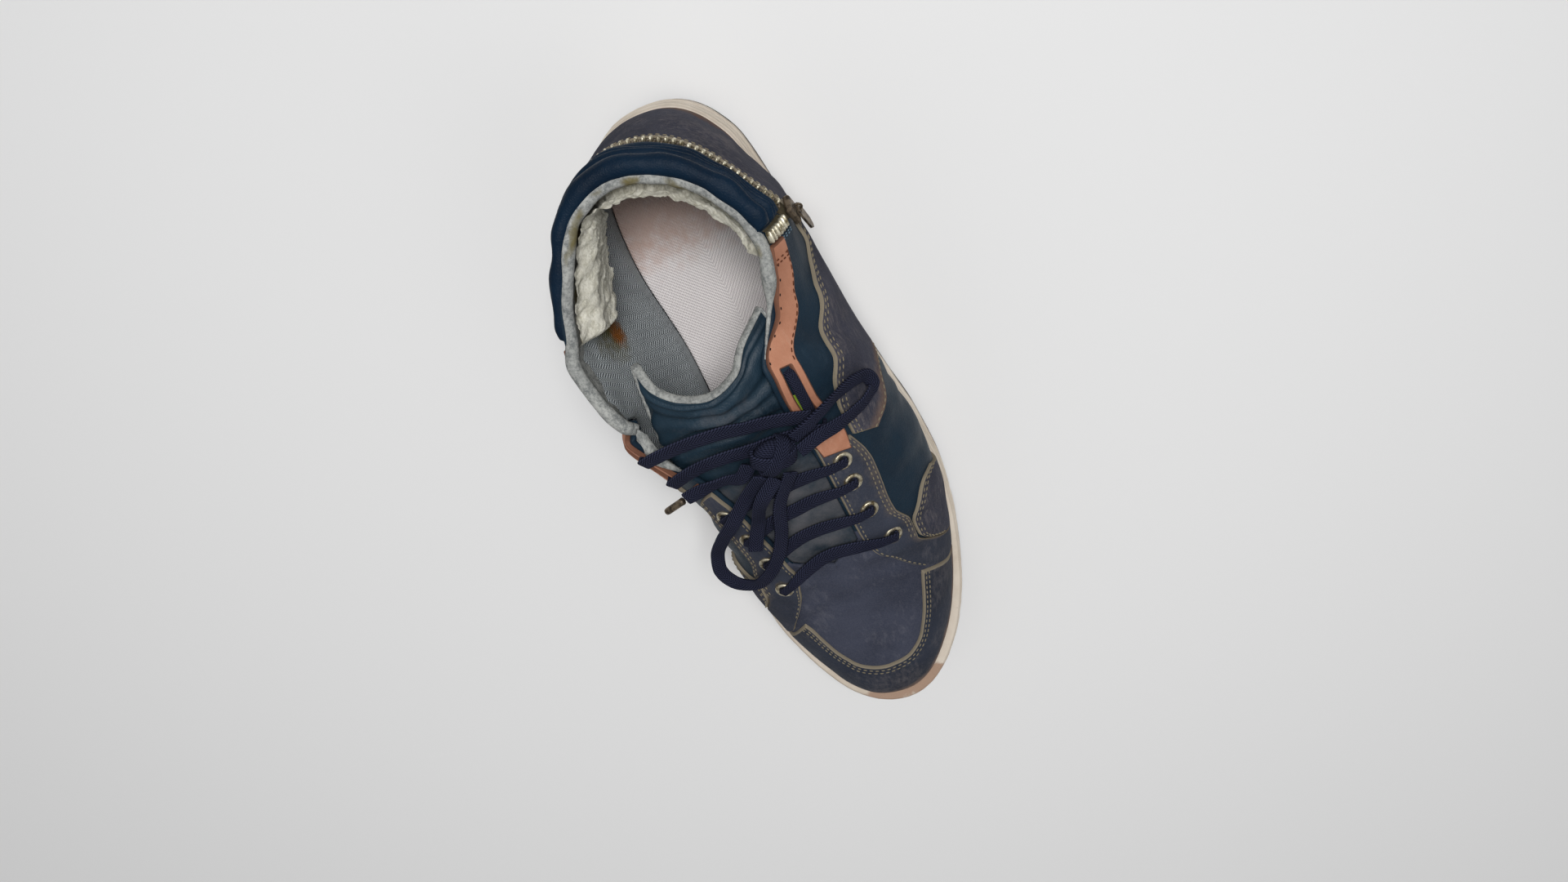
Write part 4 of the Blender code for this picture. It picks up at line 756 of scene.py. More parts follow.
@dataclass(frozen=True)
class Leather:
    """Leather or nubuck with grain, scuffs, bare edges, dirt and stains."""

    name: str
    colour: Colour
    shade: Colour
    scuff: Colour
    bare: Colour
    dirt: Colour = tint(112, 100, 88)
    stain: Colour = tint(120, 84, 52)
    roughness: float = 0.5
    cell: float = 900.0
    depth: float = 0.00012
    scuffs: float = 0.5
    scuff_strength: float = 0.5
    coat: float = 0.0
    nap: float = 0.0
    specular: float = 0.1

    def build(self, effects: Effects) -> bpy.types.Material:
        """Make the material.

        Args:
            effects: node groups to use.

        Returns:
            The material.
        """
        mat, g, shader = new_material(self.name)
        edge, dirt, stain = g.marks()
        broad = g.step(g.noise(26.0, 5.0, 0.62), 0.34, 0.68)
        colour = g.mix(broad, self.colour, self.shade)
        if self.nap:
            fibre = g.step(g.noise(1500.0, 5.0, 0.75), 0.3, 0.72)
            colour = g.mix(g.math("MULTIPLY", fibre, self.nap), colour, self.scuff)
        mask = g.group(effects.scuffs, Amount=self.scuffs).outputs["Mask"]
        rubbed = g.math("MULTIPLY", mask, self.scuff_strength)
        colour = g.mix(rubbed, colour, self.scuff)
        colour = g.mix(g.ragged(edge, 420.0, 4.0, 0.6, 0.55, 0.62, 0.95), colour, self.bare)
        cloud = g.ragged(dirt, 150.0, 6.0, 0.7, 0.7, 0.62, 1.25)
        colour = g.mix(cloud, colour, self.dirt)
        colour = g.mix(g.ragged(stain, 300.0, 5.0, 0.65, 0.5, 0.6, 1.05), colour, self.stain)
        rough = g.math("ADD", self.roughness, g.math("MULTIPLY", g.math("MAXIMUM", rubbed, cloud), 0.28))
        rough = g.math("ADD", rough, g.math("MULTIPLY", g.noise(300.0, 3.0), 0.1))
        grain = g.group(effects.grain, Scale=self.cell).outputs["Height"]
        normal = g.bump(grain, 0.5, self.depth)
        normal = g.bump(g.noise(110.0, 6.0, 0.62), 0.55, 0.0009, normal)
        g.feed(shader, {"Base Color": colour, "Roughness": rough, "Normal": g.bump(rubbed, 0.3, 0.0003,
            normal), "Specular IOR Level": self.specular})
        if self.coat:
            g.feed(shader, {"Coat Weight": self.coat, "Coat Roughness": 0.32})
        return mat


@dataclass(frozen=True)
class Rubber:
    """Sole rubber with dirt, darker along the lines of its wall, and worn through at the toe."""

    name: str
    colour: Colour
    shade: Colour
    dirt: Colour
    worn: Colour
    roughness: float = 0.6

    def build(self, effects: Effects) -> bpy.types.Material:
        """Make the material.

        Args:
            effects: not used.

        Returns:
            The material.
        """
        mat, g, shader = new_material(self.name)
        worn, dirt, groove = g.marks()
        colour = g.mix(g.step(g.noise(40.0, 6.0, 0.65), 0.35, 0.7), self.colour, self.shade)
        specks = g.step(g.noise(700.0, 6.0, 0.75), 0.6, 0.78)
        colour = g.mix(g.math("MULTIPLY", specks, 0.45), colour, self.dirt)
        low = g.ragged(dirt, 120.0, 7.0, 0.7, 0.7, 0.7, 1.3)
        colour = g.mix(low, colour, self.dirt)
        # Darker along the lines that the third mark gives.
        colour = g.mix(g.math("MULTIPLY", groove, 0.75), colour, tint(96, 84, 74))
        raw = g.ragged(worn, 210.0, 7.0, 0.7, 0.8, 0.8, 1.1)
        rough = g.math("ADD", self.roughness, g.math("MULTIPLY", low, 0.25))
        normal = g.bump(g.noise(900.0, 5.0, 0.7), 0.35, 0.0002)
        normal = g.bump(g.math("MULTIPLY", raw, g.noise(1100.0, 6.0, 0.75)), 0.8, 0.0006, normal)
        g.feed(shader, {"Base Color": g.mix(raw, colour, self.worn), "Roughness": rough, "Normal": normal,
            "Specular IOR Level": 0.25})
        return mat


@dataclass(frozen=True)
class Cloth:
    """Woven or knitted cloth, or fleece when it has a pile."""

    name: str
    colour: Colour
    thread: Colour
    stain: Colour = tint(104, 96, 52)
    spot: Colour = tint(150, 92, 42)
    pitch: float = 0.9
    depth: float = 0.0003
    pile: bool = False
    braid: bool = False
    roughness: float = 0.92

    def build(self, effects: Effects) -> bpy.types.Material:
        """Make the material.

        Args:
            effects: node groups to use.

        Returns:
            The material.
        """
        mat, g, shader = new_material(self.name)
        spot, dirt, stain = g.marks()
        if self.pile:
            height = g.math("ADD", g.noise(900.0, 6.0, 0.8),
                g.math("MULTIPLY", g.noise(260.0, 5.0, 0.7), 0.9))
            tone = g.step(height, 0.7, 1.15)
        else:
            tree = effects.braid if self.braid else effects.weave
            height = g.group(tree, Pitch=self.pitch).outputs["Height"]
            tone = g.step(height, -0.5, 0.5)
        colour = g.mix(tone, self.thread, self.colour)
        soft = g.step(g.noise(60.0, 5.0, 0.6), 0.35, 0.75)
        colour = g.mix(g.math("MULTIPLY", soft, 0.25), colour, self.thread)
        colour = g.mix(g.ragged(stain, 190.0, 6.0, 0.7, 0.7, 0.78, 1.25), colour, self.stain)
        grey = g.ragged(dirt, 120.0, 6.0, 0.7, 0.7, 0.78, 1.35)
        colour = g.mix(g.math("MULTIPLY", grey, 0.8), colour, tint(112, 100, 92))
        colour = g.mix(g.ragged(spot, 320.0, 6.0, 0.75, 1.1, 0.95, 1.55), colour, self.spot)
        normal = g.bump(height, 0.7, self.depth)
        g.feed(shader, {"Base Color": colour, "Roughness": self.roughness,
            "Normal": g.bump(g.noise(2600.0, 3.0, 0.7), 0.35, 0.0002, normal), "Specular IOR Level": 0.08})
        return mat


@dataclass(frozen=True)
class Metal:
    """Old metal, dark in its hollows and bright where it is rubbed."""

    name: str
    colour: Colour
    dark: Colour
    roughness: float = 0.38
    metallic: float = 0.85

    def build(self, effects: Effects) -> bpy.types.Material:
        """Make the material.

        Args:
            effects: not used.

        Returns:
            The material.
        """
        mat, g, shader = new_material(self.name)
        bright = g.step(g.noise(420.0, 5.0, 0.7), 0.34, 0.6)
        rough = g.math("ADD", self.roughness, g.math("MULTIPLY", g.noise(800.0, 4.0), 0.25))
        g.feed(shader, {"Base Color": g.mix(bright, self.dark, self.colour), "Roughness": rough,
            "Metallic": self.metallic, "Normal": g.bump(g.noise(1500.0, 4.0, 0.7), 0.4, 0.00012)})
        return mat


def new_material(name: str) -> tuple:
    """New material with its graph helper and its Principled shader.

    Args:
        name: name to give.

    Returns:
        The material, its graph and its shader.
    """
    mat = bpy.data.materials.new(name)
    mat.use_nodes = True
    return mat, Graph(mat.node_tree), mat.node_tree.nodes["Principled BSDF"]


class Wardrobe:
    """All finishes of the shoe, made once."""

    def __init__(self, effects: Effects) -> None:
        """Build the materials.

        Args:
            effects: node groups to use.
        """
        taupe = tint(128, 119, 103)
        finishes = (
            Leather("petrol_leather", tint(26, 44, 58), tint(18, 33, 46), tint(62, 78, 92), taupe,
                    roughness=0.5, scuffs=0.3, scuff_strength=0.4, coat=0.03, specular=0.14),
            Leather("vamp_nubuck", tint(61, 65, 80), tint(47, 51, 65), tint(104, 104, 112), taupe,
                    roughness=0.86, scuffs=0.44, scuff_strength=0.5, nap=0.22, depth=0.0001),
            Leather("navy_nubuck", tint(60, 62, 75), tint(42, 45, 58), tint(130, 122, 120), taupe,
                    dirt=tint(112, 92, 80), stain=tint(104, 72, 56), roughness=0.86, scuffs=0.54,
                    scuff_strength=0.46, nap=0.14, depth=0.0001),
            Leather("guard_leather", tint(44, 50, 63), tint(32, 37, 49), tint(104, 100, 102), taupe,
                    dirt=tint(120, 102, 92), stain=tint(160, 136, 120), roughness=0.66,
                    scuffs=0.48, scuff_strength=0.5, nap=0.08, depth=0.0001, specular=0.14),
            Leather("navy_facing", tint(56, 61, 74), tint(42, 47, 59), tint(98, 96, 100), taupe,
                    stain=tint(112, 98, 66), roughness=0.78, scuffs=0.44, scuff_strength=0.5,
                    nap=0.18, depth=0.0001),
            Leather("tan_leather", tint(184, 130, 104), tint(158, 106, 82), tint(200, 160, 138),
                    tint(112, 76, 60), dirt=tint(100, 70, 56), roughness=0.66, scuffs=0.3,
                    scuff_strength=0.45, cell=1300.0, depth=0.00008, specular=0.16),
            # The cuff's lighter scuff colour is partly scuffing and partly painted highlight: it stands for
            # the light streaks on the rolled folds.
            Leather("cuff_leather", tint(8, 31, 50), tint(5, 21, 37), tint(44, 72, 94), taupe,
                    roughness=0.46, scuffs=0.22, scuff_strength=0.3, cell=1100.0, specular=0.12),
            Leather("tongue_leather", tint(30, 50, 64), tint(20, 36, 48), tint(62, 80, 94), taupe,
                    dirt=tint(88, 88, 92), roughness=0.46, scuffs=0.34, scuff_strength=0.45,
                    coat=0.06, specular=0.22),
            Rubber("midsole_rubber", tint(224, 213, 198), tint(204, 191, 174), tint(140, 122, 108),
                   tint(172, 144, 124)),
            Rubber("outsole_rubber", tint(62, 60, 60), tint(48, 46, 46), tint(104, 92, 82),
                   tint(120, 100, 88), 0.75),
            Cloth("grey_lining", tint(216, 222, 224), tint(112, 119, 124), pitch=1.7,
                  depth=0.0005),
            Cloth("edge_binding", tint(178, 179, 175), tint(108, 111, 111), tint(112, 104, 72),
                  pitch=0.7, depth=0.0005, pile=True),
            Cloth("fleece", tint(246, 243, 230), tint(206, 202, 184), tint(158, 144, 100),
                  depth=0.0011, pile=True),
            Cloth("insole_knit", tint(246, 240, 238), tint(206, 199, 199), tint(206, 180, 170),
                  pitch=1.8, depth=0.0003, braid=True),
            Cloth("zip_tape", tint(98, 90, 70), tint(62, 56, 44), pitch=0.6, depth=0.0002),
            Cloth("navy_lace", tint(50, 53, 72), tint(12, 14, 28), tint(70, 66, 66), pitch=1.3,
                  depth=0.00035, braid=True, roughness=0.88),
            Cloth("taupe_thread", tint(150, 140, 118), tint(104, 96, 80), pitch=0.5,
                  depth=0.00008),
            Cloth("blue_thread", tint(126, 146, 160), tint(78, 100, 116), pitch=0.5,
                  depth=0.00008),
            Cloth("brown_thread", tint(110, 66, 46), tint(76, 44, 32), pitch=0.5, depth=0.00008),
            Cloth("dark_thread", tint(40, 34, 34), tint(22, 18, 20), pitch=0.5, depth=0.00008),
            Cloth("lime_tag", tint(150, 176, 60), tint(112, 138, 44), pitch=0.8, depth=0.0001),
            Metal("zip_brass", tint(236, 230, 208), tint(122, 110, 80)),
            Metal("eyelet_brass", tint(216, 208, 184), tint(116, 102, 76), 0.34),
            Metal("zip_slider", tint(128, 114, 96), tint(54, 46, 40), 0.36),
            Metal("hole_shade", tint(14, 14, 18), tint(8, 8, 10), 0.9, 0.0))
        self.finish = {item.name: item.build(effects) for item in finishes}


class Bench:
    """Turns arrays into finished pieces that ride with the shoe."""

    def __init__(self, wardrobe: Wardrobe) -> None:
        """Keep the finishes at hand."""
        self.wardrobe = wardrobe

    def mesh(self, name: str, points: Array, faces: Array, finish: str, uv: Array | None = None,
            marks: Array | tuple | None = None, replaces: tuple[str, ...] = (), slot: str = "",
            weld: float = 0.0, body: str = BODY) -> bpy.types.Object:
        """Make one piece from points and faces.

        Args:
            name: the piece's name.
            points: vertices, in metres.
            faces: rows of vertex numbers.
            finish: name of the finish.
            uv: one pair per vertex, in millimetres of surface.
            marks: bare edge, dirt and stain, per vertex or for all.
            replaces: solids that the piece stands for.
            slot: not used.
            weld: distance under which vertices are joined.
            body: the body that it rides on.

        Returns:
            The new object.
        """
        mesh = bpy.data.meshes.new(name)
        mesh.from_pydata(points.reshape(-1, 3).tolist(), [], faces.tolist())
        if uv is not None:
            corner = np.zeros(len(mesh.loops), dtype=np.int32)
            mesh.loops.foreach_get("vertex_index", corner)
            layer = mesh.uv_layers.new(name="UVMap")
            layer.data.foreach_set("uv", uv.reshape(-1, 2)[corner].astype(np.float32).ravel())
        count = len(mesh.vertices)
        values = np.zeros((count, 4), dtype=np.float32)
        if marks is not None:
            values[:, :3] = np.reshape(marks, (-1, 3))
        layer = mesh.attributes.new("marks", "FLOAT_COLOR", "POINT")
        layer.data.foreach_set("color", values.ravel())
        if weld:
            shape = bmesh.new()
            shape.from_mesh(mesh)
            bmesh.ops.remove_doubles(shape, verts=shape.verts, dist=weld)
            shape.to_mesh(mesh)
            shape.free()
        mesh.shade_smooth()
        mesh.materials.append(self.wardrobe.finish[finish])
        obj = bpy.data.objects.new(name, mesh)
        bpy.context.scene.collection.objects.link(obj)
        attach(obj, body)
        if replaces:
            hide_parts(*replaces)
        LOG.info("%s: %d vertices, %d faces", name, len(mesh.vertices), len(mesh.polygons))
        return obj

    def grid(self, name: str, points: Array, finish: str, closed: bool = False, flip: bool = False,
            keep: Array | None = None, **more: object) -> bpy.types.Object:
        """Piece from a grid of points: columns along the first axis, rows along the second."""
        return self.mesh(name, points, grid_faces(points.shape[0], points.shape[1], closed, flip, keep),
            finish, **more)

    def copies(self, name: str, shape: tuple[Array, Array], places: Array, along: Array, up: Array,
            size: Array, finish: str, **more: object) -> bpy.types.Object:
        """One mesh of many copies of a small form, each turned and sized.

        A copy's point is place + along * x * sx + across * y * sy + up * z * sz, where
        across is up x along.

        Args:
            name: name to give.
            shape: corners and faces of the form.
            places: centre of each copy.
            along: direction of each copy.
            up: upward direction.
            size: length of a wave, or the sizes to use.
            finish: name of the finish.
            more: passed on to mesh.

        Returns:
            The new object.
        """
        corners, faces = shape
        along = unit(along)
        up = unit(up - along * np.sum(up * along, axis=1, keepdims=True))
        across = np.cross(up, along)
        scaled = corners[None] * size[:, None]
        points = (places[:, None] + along[:, None] * scaled[..., [0]] + across[:, None] * scaled[...,
            [1]] + up[:, None] * scaled[..., [2]])
        shift = np.arange(len(places))[:, None, None] * len(corners)
        return self.mesh(name, points, (faces[None] + shift).reshape(-1, faces.shape[1]), finish, **more)


def grid_faces(columns: int, rows: int, closed: bool = False, flip: bool = False,
        keep: Array | None = None) -> Array:
    """Faces of a grid of columns by rows; keep leaves out cells.

    Args:
        columns: number of columns.
        rows: number of rows.
        closed: whether the columns close on themselves.
        flip: whether to turn the faces over.
        keep: cells to keep.

    Returns:
        Rows of four vertex numbers.
    """
    across = np.arange(columns if closed else columns - 1)
    i, j = np.meshgrid(across, np.arange(rows - 1), indexing="ij")
    nxt = (i + 1) % columns
    faces = np.stack([i * rows + j, i * rows + j + 1, nxt * rows + j + 1, nxt * rows + j], -1)
    if flip:
        faces = faces[..., ::-1]
    if keep is not None:
        faces = faces[keep]
    return faces.reshape(-1, 4)


def bead(power: float = 0.6, columns: int = 8, rows: int = 7) -> tuple[Array, Array]:
    """Small rounded block: a superellipsoid of the two angles, one unit each way.

    Args:
        power: squareness of the section.
        columns: number of columns.
        rows: number of rows.

    Returns:
        Its corners and faces.
    """
    a = np.linspace(0, 2 * np.pi, columns, endpoint=False)
    b = np.linspace(-np.pi / 2, np.pi / 2, rows)

    def soft(value: Array) -> Array:
        """Signed power that squares the form up."""
        return np.sign(value) * np.abs(value) ** power

    a, b = np.meshgrid(a, b, indexing="ij")
    points = np.stack([soft(np.cos(b)) * soft(np.cos(a)), soft(np.cos(b)) * soft(np.sin(a)),
        soft(np.sin(b))], -1)
    return points.reshape(-1, 3) * 0.5, grid_faces(columns, rows, closed=True, flip=True)


def edge_spaced(count: int, inset: float, steps: tuple[float, ...]) -> Array:
    """Shares from 0 to 1, with close steps near both ends; inset is their full reach.

    Args:
        count: number of shares.
        inset: distance inwards, in metres.
        steps: places of the close steps, as shares of the inset.

    Returns:
        The shares.
    """
    near = np.array(steps) * inset
    middle = np.linspace(inset, 1 - inset, count)
    return np.unique(np.r_[near, middle, 1 - near])


def distances(points: Array) -> tuple[Array, Array, Array, Array]:
    """Metres along a grid from its first and last column, and first and last row.

    Args:
        points: points, in metres.

    Returns:
        The four grids.
    """
    across = np.cumsum(np.linalg.norm(np.diff(points, axis=0, prepend=points[:1]), axis=-1), 0)
    up = np.cumsum(np.linalg.norm(np.diff(points, axis=1, prepend=points[:, :1]), axis=-1), 1)
    return across, across[-1:] - across, up, up[:, -1:] - up


def cloth_uv(points: Array) -> Array:
    """Millimetres of surface along both ways of a grid."""
    across, _, up, _ = distances(points)
    return np.stack([across, up], -1) * 1000


def wear(bare: Array | float, dirt: Array | float, stain: Array | float) -> Array:
    """Bare edge, dirt and stain as one array."""
    return np.stack(np.broadcast_arrays(bare, dirt, stain), -1)


@dataclass(frozen=True)
class Panel:
    """A leather overlay between two climbs, with rounded cut edges."""

    name: str
    table: tuple
    finish: str
    side: Side = Side.OUTER
    replaces: tuple[str, ...] = ()
    slot: str = "navy_nubuck"
    thickness: float = 0.0014
    columns: int = 120
    rows: int = 56
    foot: bool = True
    dirt: float = 0.0
    slits: tuple[tuple[float, float, float, float], ...] = ()
    stain_reach: float = 0.007

    def turns(self, last: Last) -> tuple[Array, Array, Array]:
        """Turns of the panel's columns with the low and high climb at each.

        Args:
            last: not used.

        Returns:
            The turns and both climbs.
        """
        table = np.array(self.table, float)
        spread = edge_spaced(self.columns, 0.02, (0, 0.15, 0.4, 0.7))
        turn = table[0, 0] + (table[-1, 0] - table[0, 0]) * spread
        low = smooth_rows(table[:, 0], table[:, 1], turn)
        high = smooth_rows(table[:, 0], table[:, 2], turn)
        return turn, low, high

    def build(self, last: Last, bench: Bench, rust: Array | None = None) -> bpy.types.Object:
        """Make the panel.

        The surface is the last at each turn and climb, raised by the thickness times
        sqrt(1 - (1 - d)^2), where d is the distance to the nearest edge in radii.

        Args:
            last: form to lie on.
            bench: maker of pieces.
            rust: centres of the stains, if any.

        Returns:
            The piece.
        """
        turn, low, high = self.turns(last)
        share = edge_spaced(self.rows, 0.05, (0, 0.1, 0.25, 0.5, 0.75))
        turn = np.repeat(turn[:, None], len(share), 1) * self.side.value
        climb = low[:, None] + (high - low)[:, None] * share
        base = last.plain(turn, climb)
        sides = distances(base)
        open_foot = sides[2] + (0.004 if self.foot else 0.0) * (low[:, None] < 0.03)
        border = np.minimum.reduce([sides[0], sides[1], open_foot, sides[3]])
        for first, final, bottom, top in self.slits:
            centre = np.stack([(np.abs(turn) - first) / (final - first),
                (share[None] - bottom) / (top - bottom) + 0 * turn], -1)
            spot = np.clip(centre, 0, 1)
            reach = np.stack([(final - first) * 0.4 + 0 * turn,
                (high - low)[:, None] * (top - bottom) * last.per_climb(turn)], -1)
            border = np.minimum(border, np.linalg.norm((centre - spot) * reach, axis=-1))
        height = self.thickness * np.sqrt(np.clip(1 - (1 - np.clip(border / 0.0009, 0, 1)) ** 2, 0, 1))
        points = last.at(turn, climb, height + 0.00006)
        bare = 1 - ramp(border, 0.0004, 0.0013)
        grime = self.dirt * (1 - ramp(sides[2], 0.0, 0.016))
        stain = 0.0
        if rust is not None:
            gap = np.linalg.norm(points[:, :, None] - rust[None, None], axis=-1).min(-1)
            stain = 0.55 * (1 - ramp(gap, self.stain_reach / 2, self.stain_reach))
        middle = (np.abs(turn[:-1, :-1]) + np.abs(turn[1:, 1:])) / 2
        level = np.broadcast_to((share[:-1] + share[1:]) / 2, middle.shape)
        keep = np.ones(middle.shape, bool)
        for first, final, bottom, top in self.slits:
            keep &= ~((middle > first) & (middle < final) & (level > bottom) & (level < top))
        return bench.grid(self.name, points, self.finish, flip=self.side is Side.INNER, keep=keep,
            uv=cloth_uv(base), marks=wear(bare, grime, stain), replaces=self.replaces, slot=self.slot)


@dataclass(frozen=True)
class StitchRun:
    """A row of stitches along a line of turns and climbs."""

    line: tuple
    finish: str = "taupe_thread"
    pitch: float = 0.0027
    length: float = 0.002
    lift: float = 0.0015
    side: Side = Side.OUTER
    down: float = 0.0


class Stitching:
    """Every visible stitch, one mesh per thread."""

    def __init__(self, last: Last, bench: Bench) -> None:
        """Start with no stitches."""
        self.last, self.bench = last, bench
        self.runs: dict[str, list[tuple[Array, Array, Array]]] = {}

    def add(self, run: StitchRun) -> None:
        """Lay one row: even places along the line, each with its direction and normal.

        Args:
            run: row to lay.
        """
        line = np.array(run.line, float)
        fine = np.linspace(line[0, 0], line[-1, 0], 600)
        climb = np.linspace(line[0, 1], line[-1, 1], 600)
        if line[0, 0] != line[-1, 0]:
            climb = smooth_rows(line[:, 0], line[:, 1], fine)
        climb = climb - run.down / self.last.per_climb(fine * run.side.value)
        self.lay(fine * run.side.value, climb, run)

    def lay(self, turn: Array, climb: Array, run: StitchRun) -> None:
        """Lay a row along given turns and climbs.

        Args:
            turn: turns round the shoe.
            climb: climbs up the last.
            run: row to lay.
        """
        path = self.last.plain(turn, climb)
        length = np.r_[0, np.cumsum(np.linalg.norm(np.diff(path, axis=0), axis=1))]
        count = max(int(length[-1] / run.pitch), 2)
        marks = (np.arange(count) + 0.5) * length[-1] / count
        at_turn = np.interp(marks, length, turn)
        at_climb = np.interp(marks, length, climb)
        places = self.last.at(at_turn, at_climb, np.full(count, run.lift))
        ahead = np.interp(marks + 0.0006, length, turn), np.interp(marks + 0.0006, length, climb)
        along = self.last.plain(*ahead) - self.last.plain(at_turn, at_climb)
        up = self.last.normal(at_turn, at_climb)
        size = np.tile([run.length, 0.00062, 0.0005], (count, 1))
        self.runs.setdefault(run.finish, []).append((places, along, up, size))

    def build(self) -> None:
        """Make one piece per thread."""
        shape = bead(0.8, 6, 5)
        for finish, rows in self.runs.items():
            places, along, up, size = (np.concatenate(part) for part in zip(*rows))
            self.bench.copies(f"stitches_{finish}", shape, places, along, up, size, finish)


@dataclass
class Shell:
    """Leather upper, its rim, grey lining and insole."""

    last: Last
    bench: Bench
    columns: int = 420
    rows: int = 90

    def upper(self) -> None:
        """Outer face and rolled rim: the last up to its cut edge, then over and down."""
        turn = np.linspace(-1, 1, self.columns, endpoint=False)
        turn = np.unique(np.r_[turn, np.linspace(0.62, 0.7, 40), -np.linspace(0.62, 0.7, 40)])
        edge = self.last.edge(turn)
        share = np.linspace(0, 1, self.rows)
        climb = edge[:, None] * share
        points = self.last.at(turn[:, None], climb)
        foot = points[:, 0] - (0, 0, 0.008)
        normal = self.last.normal(turn, edge)
        rim, before = points[:, -1], points[:, -2]
        up = unit(rim - before)
        wall = self.last.size.wall
        angle = np.linspace(0, np.pi, 7)[1:]
        open_edge = (edge < 0.9995)[:, None, None] | (np.abs(turn) < 0.5)[:, None, None]
        roll = (rim[:, None] + up[:, None] * (np.sin(angle) * wall / 2)[None, :, None] - normal[:,
            None] * ((1 - np.cos(angle)) * wall / 2)[None, :, None])
        tail = roll[:, -1:] - up[:, None] * 0.002
        roll = np.where(open_edge, np.concatenate([roll, tail], 1), rim[:, None])
        points = np.concatenate([foot[:, None], points, roll], 1)
        rows = points.shape[1]
        height = points[..., 2] - self.last.wall_top(points[..., 0])
        dirt = 0.55 * (1 - ramp(height, 0.0, 0.012))
        bare = np.zeros_like(height)
        bare[:, -8:] = 0.25
        uv = np.stack([np.repeat(turn[:, None], rows, 1) * 350, height * 1000], -1)
        obj = self.bench.grid("upper_leather", points, "petrol_leather", closed=True, uv=uv,
            marks=wear(bare, dirt, 0.0), replaces=("upper",), slot="petrol_leather", weld=2e-5)
        vamp = self.bench.wardrobe.finish["vamp_nubuck"]
        obj.data.materials.append(vamp)
        centre = np.zeros(len(obj.data.polygons) * 3)
        obj.data.polygons.foreach_get("center", centre)
        centre = centre.reshape(-1, 3)
        ahead = centre[:, 0] > 0.149 + 0.031 * ramp(0.08 - centre[:, 2], 0.0, 0.022)
        index = np.where(ahead, 1, 0).astype(np.int32)
        obj.data.polygons.foreach_set("material_index", index)

    def lining(self) -> None:
        """Herringbone cloth inside, from the rim down to the insole."""
        turn = np.linspace(-1, 1, 300, endpoint=False)
        edge = self.last.edge(turn)
        climb = edge[:, None] * np.linspace(0, 0.995, 60)
        base = self.last.plain(turn[:, None], climb)
        depth = self.last.size.wall + 0.0003
        folds = 0.0005 * waves(base, 0.03, 11) * ramp(climb, 0.2, 0.5)
        points = base - self.last.normal(turn[:, None], climb) * (depth + np.abs(folds))[..., None]
        plan, _ = self.last.outline(turn, self.last.feather(turn) + 0.0025)
        foot = np.concatenate([plan, (self.last.floor(plan[:, 0]) + 0.003)[:, None]], -1)
        points = np.concatenate([foot[:, None], points], 1)
        spot = np.exp(-(np.linalg.norm(points - (0.034, -0.04, 0.066), axis=-1) / 0.008) ** 2)
        stain = 0.8 * np.exp(-(np.linalg.norm(points - (0.03, -0.041, 0.072), axis=-1) / 0.022) ** 2)
        self.bench.grid("upper_lining", points, "grey_lining", closed=True, flip=True, uv=cloth_uv(points),
            marks=wear(spot, 0.25, stain), weld=2e-5, slot="insole_knit")

    def insole(self) -> None:
        """Ribbed footbed: shrinking copies of the outline, dished and rolled at its edge."""
        turn = np.linspace(-1, 1, 220, endpoint=False)
        share = np.r_[0, 0, 0.02, 0.05, np.linspace(0.1, 1, 30)]
        edge, _ = self.last.outline(turn, self.last.feather(turn) + 0.0029)
        spine = np.stack([np.clip(edge[:, 0], -0.012, 0.225), 0 * edge[:, 1] - 0.004], -1)
        plan = edge[:, None] + (spine - edge)[:, None] * share[None, :, None]
        top = self.last.floor(plan[..., 0]) + 0.0003 + self.last.size.insole
        round_off = np.array([0.0038, 0.0008, 0.0002] + [0.0] * 31)
        dish = 0.0009 * np.sin(np.pi * np.clip(share, 0, 1)) * ramp(0.05 - plan[..., 0], 0, 0.05)
        z = top - round_off - dish + 0.0002 * waves(np.concatenate([plan, top[..., None]], -1), 0.03, 8)
        points = np.concatenate([plan, z[..., None]], -1)
        heel = 0.85 * (1 - ramp(plan[..., 0], 0.0, 0.06))
        self.bench.grid("insole_top", points, "insole_knit", closed=True, uv=plan[..., ::-1] * 1000,
            marks=wear(0.0, 0.35, heel), replaces=("insole",), slot="insole_knit")

    def binding(self) -> None:
        """Light knit edge along the rim: a flat roll from the cuff to the tongue."""
        turn = np.linspace(-0.52, 0.448, 337)
        edge = self.last.edge(turn)
        normal = self.last.normal(turn, edge)
        rim = self.last.at(turn, edge)
        up = unit(np.cross(np.gradient(self.last.plain(turn, edge), axis=0), normal))
        thin = (1 - 0.7 * ramp(turn, 0.33, 0.39)) * ramp(0.448 - turn, 0.0, 0.012)
        thin = thin * ramp(turn + 0.52, 0.0, 0.04)
        angle = np.linspace(-0.5, np.pi * 1.15, 14)
        wobble = 1 + 0.08 * waves(rim, 0.012, 21)
        front = (ramp(turn, 0.27, 0.31) + ramp(-turn, 0.285, 0.32))[:, None]
        reach = (0.0024 + 0.0002 * front[..., None]) * (wobble * thin)[:, None, None]
        centre = rim - normal * (0.0026 - 0.0019 * front) - up * (0.0008 - 0.0018 * front)
        centre, up = (smooth_rows(turn[::14], rows[::14], turn) for rows in (centre, up))
        points = (centre[:, None] + normal[:, None] * np.cos(angle)[None, :, None] * reach + up[:,
            None] * np.sin(angle)[None, :, None] * reach)
        tail = points[:, -1:] - up[:, None] * np.array([0.004, 0.008])[None, :, None]
        points = np.concatenate([points, tail - normal[:, None] * 0.0002], 1)
        inside = ramp(np.arange(points.shape[1]), 2.0, 7.0)[None]
        stain = 0.86 * ramp(0.33 - np.abs(turn), 0.0, 0.05)[:,
            None] * inside * ramp(waves(points, 0.013, 22), -0.9, 0.9)
        self.bench.grid("collar_binding", points, "edge_binding", uv=cloth_uv(points),
            marks=wear(0.0, 0.2, stain), slot="insole_knit")

